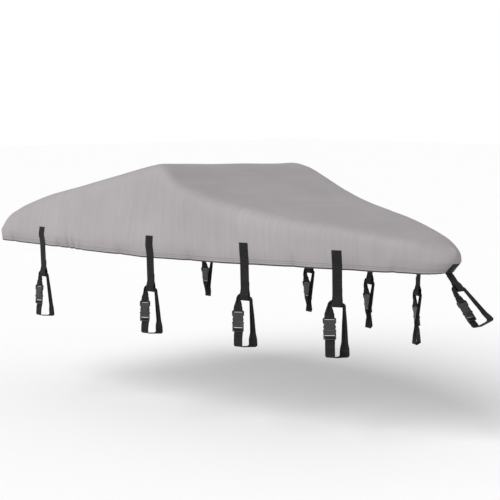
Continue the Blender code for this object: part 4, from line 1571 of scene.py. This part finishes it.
def plate(name: str, loops: Sequence[Sequence[Flat]], thickness: float) -> Object:
    """Make a plate from its outline and the outlines of its slots.

    Args:
        name: name of the object.
        loops: the outline, then those of the slots, as across and up.
        thickness: thickness along Y.

    Returns:
        The plate, upright about the XZ plane.
    """
    curve = bpy.data.curves.new(name, "CURVE")
    curve.dimensions = "2D"
    curve.fill_mode = "BOTH"
    curve.extrude = 0.5 * thickness
    for loop in loops:
        spline = curve.splines.new("POLY")
        spline.points.add(len(loop) - 1)
        spline.use_cyclic_u = True
        for point, (x, z) in zip(spline.points, loop):
            point.co = (x, z, 0.0, 1.0)
    flat = link(bpy.data.objects.new("flat_" + name, curve))
    graph = bpy.context.evaluated_depsgraph_get()
    mesh = bpy.data.meshes.new_from_object(flat.evaluated_get(graph))
    bpy.data.objects.remove(flat, do_unlink=True)
    bpy.data.curves.remove(curve)
    bm = bmesh.new()
    bm.from_mesh(mesh)
    bpy.data.meshes.remove(mesh)
    bmesh.ops.remove_doubles(bm, verts=bm.verts, dist=1e-5)
    bmesh.ops.rotate(bm, verts=bm.verts, cent=(0, 0, 0), matrix=turn("X", 90.0, 3))
    bmesh.ops.recalc_face_normals(bm, faces=bm.faces)
    bmesh.ops.dissolve_limit(bm, angle_limit=math.radians(1.0), verts=bm.verts, edges=bm.edges)
    return new_object(name, bm)


@dataclass(frozen=True)
class Buckle:
    """A side-release buckle: the socket with its strap bar, and the insert with its ladder."""

    size: BuckleSizes
    edge: float = 0.0012
    wing: float = 0.009
    lip: float = 0.004
    foot: float = 0.007
    moulded: float = 0.0026
    cut_edge: float = 0.0005
    pocket_width: float = 0.084
    pocket_play: float = 0.0012
    pocket_floor: float = 0.010
    panel: tuple[float, float, float] = (0.054, 0.0014, 0.040)
    panel_at: float = 0.056
    panel_corner: float = 0.009
    groove: Flat = (0.0012, 0.0014)
    groove_at: float = 0.009
    button: tuple[Flat, ...] = (
        (0.0405, -0.0190), (0.0409, -0.0170), (0.0420, -0.0152), (0.0440, -0.0138), (0.0460, -0.0124),
        (0.0471, -0.0104), (0.0475, -0.0080), (0.0474, -0.0030), (0.0470, 0.0010), (0.0462, 0.0050),
        (0.0448, 0.0088), (0.0426, 0.0118), (0.0400, 0.0140))

    def socket(self, name: str) -> Object:
        """Make the socket in the front leg's frame.

        Args:
            name: name of the object.

        Returns:
            The socket.
        """
        s = self.size
        obj = plate(name, [self.shell()], s.thickness)
        soften(obj, "moulded_edges", self.moulded, 3, 60.0)
        recess_l = s.socket_bar + s.socket_slot + 0.002
        recess_z = -(s.socket_at - 0.002 + 0.5 * recess_l)
        recess_y = 0.25 * s.ladder_thickness + 0.25 * s.thickness + 0.0025
        recess_t = 0.5 * s.thickness - 0.5 * s.ladder_thickness + 0.005
        pocket_l = s.socket_length - s.socket_bar - s.socket_slot - self.pocket_floor
        slot_z = -(s.socket_at + s.socket_bar + 0.5 * s.strap_slot)
        cut_box(obj, (s.slot_width, 0.05, s.strap_slot), (0.0, 0.0, slot_z))
        for sign in (-1.0, 1.0):
            cut_box(obj, (s.slot_width, recess_t, recess_l), (0.0, sign * recess_y, recess_z))
        cut_box(obj, (self.pocket_width, s.ladder_thickness + self.pocket_play, pocket_l + 0.001),
                (0.0, 0.0, -(s.mouth - 0.5 * pocket_l + 0.0005)))
        for sign in (-1.0, 1.0):
            face = sign * 0.5 * s.thickness
            cut_box(obj, self.panel, (0.0, face, -(s.socket_at + self.panel_at)), self.panel_corner)
            cut_box(obj, (s.width + 0.01, *self.groove), (0.0, face, -(s.mouth - self.groove_at)))
        soften(obj, "moulded_edges", self.cut_edge, 1, 40.0)
        face_out(obj)
        return shade(obj, 40.0)

    def insert(self, name: str) -> Object:
        """Make the insert in the front leg's frame.

        Args:
            name: name of the object.

        Returns:
            The insert.
        """
        s = self.size
        end, half = -(s.mouth + s.ladder_length), 0.5 * s.slot_width
        slots = ((end + s.bar, end + s.bar + s.ladder_slot),
                 (end + 2 * s.bar + s.ladder_slot, end + 2 * s.bar + s.ladder_slot + s.upper_slot))
        holes = [[(-half, low), (half, low), (half, high), (-half, high)] for low, high in slots]
        obj = plate(name, [self.outline()] + holes, s.ladder_thickness)
        soften(obj, "moulded_edges", self.edge, 2, 30.0)
        face_out(obj)
        return shade(obj, 40.0)

    def shell(self) -> list[Flat]:
        """Outline of the socket: rounded wings at the top, a hollowed waist and a straight mouth.

        Returns:
            Points of the outline, as across and up.
        """
        s = self.size
        half, quarter = 0.5 * s.width, 0.5 * math.pi
        reach = math.acos(1.0 - s.waist_depth / s.waist_radius)
        right = arc((half - self.wing, -s.socket_at - self.wing), self.wing, np.linspace(0.0, quarter, 6))
        right += [(half - s.waist_depth + s.waist_radius * (1.0 - math.cos(a)),
                   -(s.socket_at + s.waist_at) + s.waist_radius * math.sin(a))
                  for a in np.linspace(reach, -reach, 17)]
        right += [(half - self.lip + self.lip * math.cos(a), -s.mouth + self.lip - self.lip * math.sin(a))
                  for a in np.linspace(0.0, quarter, 4)]
        return right + mirrored(right)

    def outline(self) -> list[Flat]:
        """Outline of the insert: two sprung prongs, a guide between them, and the ladder.

        Returns:
            Points of the outline, as across and up.
        """
        s = self.size
        mouth, end = -s.mouth - 0.0006, -(s.mouth + s.ladder_length)
        half, tip, window = 0.5 * s.ladder_width, mouth + 0.060, -(s.socket_at + s.waist_at)
        prong = [(0.0360, tip - 0.001), (0.0350, tip), (0.0300, tip), (0.0290, tip - 0.001)]
        guide = [(0.0300, mouth + 0.014), (0.0060, mouth + 0.014), (0.0050, tip - 0.004)]
        pressed = [(x, window + z) for x, z in self.button]
        right = [(half, mouth), (self.button[0][0], mouth)] + pressed + prong + guide
        low = [(half - self.foot * (1.0 - math.cos(a)), end + self.foot * (1.0 - math.sin(a)))
               for a in np.linspace(0.0, 0.5 * math.pi, 6)]
        return right + mirrored(right) + [(-x, z) for x, z in low] + low[::-1]


# ---------------------------------------------------------------- stitches
@dataclass(frozen=True)
class Stitching:
    """Lock stitches as short beads of thread lying on a face."""

    length: float = 0.0036
    width: float = 0.0009
    height: float = 0.0007
    pitch: float = 0.0050
    box_inset: Flat = (0.07, 0.93)
    box_top: float = 0.006
    nose_box: float = 0.062
    hem_margin: float = 0.014
    eye_inset: Flat = (0.06, 0.94)
    eye_top: float = 0.094
    eye_rows: tuple[float, ...] = (0.004, 0.010, 0.034)

    def beads(self, bm: BMesh, line: np.ndarray, normals: np.ndarray) -> None:
        """Lay beads along a line on a face, upright on its normals.

        Args:
            bm: the bmesh that takes them.
            line: points of the line.
            normals: the face's normals at those points.
        """
        walk = walked(line)
        for t in np.arange(0.5 * self.pitch, walk[-1], self.pitch):
            spot, off = look_up(t, walk, line), look_up(t, walk, normals)
            forward = look_up(min(t + 0.001, walk[-1]), walk, line) - spot
            if np.linalg.norm(forward) < 1e-9:
                continue
            x = unit(forward)
            y = unit(np.cross(unit(off), x))
            columns = (x * 0.5 * self.length, y * 0.5 * self.width, np.cross(x, y) * 0.5 * self.height, spot)
            matrix = Matrix([[column[k] for column in columns] for k in range(3)] + [[0, 0, 0, 1]])
            bmesh.ops.create_icosphere(bm, subdivisions=1, radius=1.0, matrix=matrix)

    def hem(self, sheet: CoverSheet) -> Object:
        """Both rows of stitches round the hem.

        Args:
            sheet: the sheet, built.

        Returns:
            The stitches.
        """
        bm = bmesh.new()
        for side in Side:
            for seam in sheet.seams:
                self.beads(bm, *sheet.seam_line(side, seam))
        return shade(new_object("hem_stitches", bm), 89.0)

    def stretch(self, table: np.ndarray, walk: np.ndarray, start: Flat, end: Flat) -> np.ndarray:
        """Read a tab's table along a straight stretch.

        Args:
            table: vectors, rows along the tab by columns across by 3.
            walk: how far along the tab each row lies.
            start: where the stretch begins, as a share of the width and a distance along.
            end: where it ends.

        Returns:
            The vectors along the stretch.
        """
        seats = np.linspace(0.0, 1.0, table.shape[1])
        points = []
        for share, distance in np.linspace(start, end, 40):
            line = np.array([look_up(share, seats, row) for row in table])
            points.append(look_up(distance, walk, line))
        return np.array(points)

    def tab(self, place: Place, rows: np.ndarray) -> Object:
        """Stitches of a tab: a crossed box on the skirt, and rows that close the eye.

        Args:
            place: the tab's place.
            rows: the tab's rows of points, from its top down.

        Returns:
            The stitches.
        """
        walk = walked(rows.mean(axis=1))
        normal = np.cross(np.gradient(rows, axis=1), np.gradient(rows, axis=0))
        if np.dot(normal[0, 4], place.out) < 0.0:
            normal = -normal
        face = rows + normal / np.linalg.norm(normal, axis=2, keepdims=True) * (0.5 * WEB + 0.0001)
        (a, b), high = self.box_inset, self.box_top
        low = self.nose_box if place.name == "nose" else place.top - self.hem_margin
        runs = [((a, high), (b, high)), ((a, low), (b, low)), ((a, high), (a, low)),
                ((b, high), (b, low)), ((a, high), (b, low)), ((b, high), (a, low))]
        hang = next(w for w, row in zip(walk, rows)
                    if np.dot(row[4] - place.eye, place.up) < self.eye_top)
        (a, b) = self.eye_inset
        runs += [((a, hang + gap), (b, hang + gap)) for gap in self.eye_rows]
        bm = bmesh.new()
        for start, end in runs:
            self.beads(bm, *(self.stretch(table, walk, start, end) for table in (face, normal)))
        return shade(new_object("tab_stitches_" + place.name, bm), 89.0)


# ---------------------------------------------------------------- the whole
@dataclass
class FittedCover:
    """The whole cover: sheet, hem stitches, tabs, tie-downs and buckles."""

    pattern: Pattern = field(default_factory=Pattern)
    layout: StrapLayout = StrapLayout()
    ribbon: Ribbon = Ribbon()
    sizes: BuckleSizes = BuckleSizes()
    stitching: Stitching = Stitching()
    hem_thread: ThreadFinish = ThreadFinish("grey_thread", (0.25, 0.235, 0.240))
    strap_thread: ThreadFinish = ThreadFinish("black_thread", (0.035, 0.033, 0.034))

    def build(self) -> None:
        """Build and dress every piece."""
        sheet = CoverSheet(self.pattern)
        cloth = ClothFinish().material(sheet.map_name, sheet.crease_name)
        self.webbing = WebbingFinish().material(self.ribbon.map_name)
        self.plastic = PlasticFinish().material()
        grey_thread = self.hem_thread.material()
        self.black_thread = self.strap_thread.material()
        cover = sheet.build()
        finish_piece(cover, cloth, "cover_sheet")
        stitches = self.stitching.hem(sheet)
        finish_piece(stitches, grey_thread)
        skin = BVHTree.FromPolygons([v.co for v in cover.data.vertices],
                                    [tuple(p.vertices) for p in cover.data.polygons])
        for strap in STRAPS:
            self.build_strap(self.layout.side_place(self.pattern, strap), skin)
        self.build_strap(self.layout.nose_place(self.pattern), skin)

    def build_strap(self, place: Place, skin: BVHTree) -> None:
        """Build one strap with its tab, buckle and stitches, and its twin on the other side.

        Args:
            place: where the strap hangs.
            skin: a search tree of the sheet's faces.
        """
        name, buckle, matrix = place.name, Buckle(self.sizes), self.layout.leg_matrix(place)
        tab_rows = SewnTab(self.layout).rows(place, skin, self.pattern)
        strap_rows = TieDown(self.layout, self.sizes).rows(place)
        made = (
            (self.ribbon.build("tab_webbing_" + name, tab_rows), self.webbing, "black_webbing", "sewn_tab_"),
            (self.ribbon.build("strap_webbing_" + name, strap_rows), self.webbing, "black_webbing",
             "tie_down_"),
            (place_mesh(buckle.socket("socket_shell_" + name), matrix), self.plastic, "buckle_plastic",
             "buckle_socket_"),
            (place_mesh(buckle.insert("insert_frame_" + name), matrix), self.plastic, "buckle_plastic",
             "buckle_insert_"),
            (self.stitching.tab(place, tab_rows), self.black_thread, "black_webbing", ""))
        for obj, material, slot, prefix in made:
            node = prefix + name if prefix else ""
            finish_piece(obj, material, node)
            if name != "nose":
                twin = obj.copy()
                twin.data = obj.data.copy()
                twin.name = obj.name.replace("_right_", "_left_")
                place_mesh(link(twin), Matrix.Scale(-1.0, 4, Y_AXIS))
                finish_piece(twin, material, node.replace("right", "left"))


@dataclass(frozen=True)
class Studio:
    """A white room: a pale floor, an even sky, a broad key light and the camera."""

    camera: tuple[float, float, float] = (8.7319, -7.9179, 0.5214)
    yaw: float = 47.0366
    pitch: float = 5.975
    roll: float = -0.033
    lens: float = 102.986
    sensor: float = 36.0
    floor_z: float = -2.05
    floor_reach: float = 60.0
    sky: float = 0.52
    key_power: float = 2.50
    key_width: float = 42.0
    key_yaw: float = 4.0
    key_height: float = 40.0

    def build_camera(self) -> None:
        """Place the camera at the photograph's angle."""
        data = bpy.data.cameras.new("camera")
        data.lens, data.sensor_width, data.clip_end = self.lens, self.sensor, 200.0
        camera = link(bpy.data.objects.new("camera", data))
        camera.matrix_world = Matrix.Translation(self.camera) @ turn("Z", self.yaw) \
            @ turn("X", 90.0 - self.pitch) @ turn("Z", self.roll)
        bpy.context.scene.camera = camera

    def build_light(self) -> None:
        """Add the key light and the sky, which the camera sees as white."""
        sun = bpy.data.lights.new("key", "SUN")
        sun.energy, sun.angle = self.key_power, math.radians(self.key_width)
        key = link(bpy.data.objects.new("key", sun))
        key.matrix_world = turn("Z", self.key_yaw) @ turn("X", 90.0 - self.key_height)
        world = bpy.data.worlds.new("white_room")
        bpy.context.scene.world = world
        world.use_nodes = True
        tree = world.node_tree
        path, mix = tree.nodes.new("ShaderNodeLightPath"), tree.nodes.new("ShaderNodeMixShader")
        tree.links.new(path.outputs["Is Camera Ray"], mix.inputs[0])
        lit, seen = tree.nodes["Background"], tree.nodes.new("ShaderNodeBackground")
        for socket, back, strength in ((mix.inputs[1], lit, self.sky), (mix.inputs[2], seen, 1.0)):
            back.inputs["Color"].default_value = (1.0, 1.0, 1.0, 1.0)
            back.inputs["Strength"].default_value = strength
            tree.links.new(back.outputs[0], socket)
        tree.links.new(mix.outputs[0], tree.nodes["World Output"].inputs["Surface"])
        bpy.context.scene.view_settings.view_transform = "Standard"

    def build_floor(self) -> None:
        """Lay the floor."""
        bm = bmesh.new()
        bmesh.ops.create_grid(bm, x_segments=1, y_segments=1, size=self.floor_reach)
        bmesh.ops.translate(bm, vec=(0.0, 0.0, self.floor_z), verts=bm.verts)
        floor = new_object("studio_floor", bm)
        floor.data.materials.append(FloorFinish().material())


def main() -> None:
    """Build the cover, then the room around it."""
    logging.basicConfig(level=logging.INFO, format="%(name)s: %(message)s")
    FittedCover().build()
    studio = Studio()
    studio.build_camera()
    studio.build_light()
    studio.build_floor()
    log.info("scene ready, quick=%s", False)


if __name__ == "__main__":
    main()
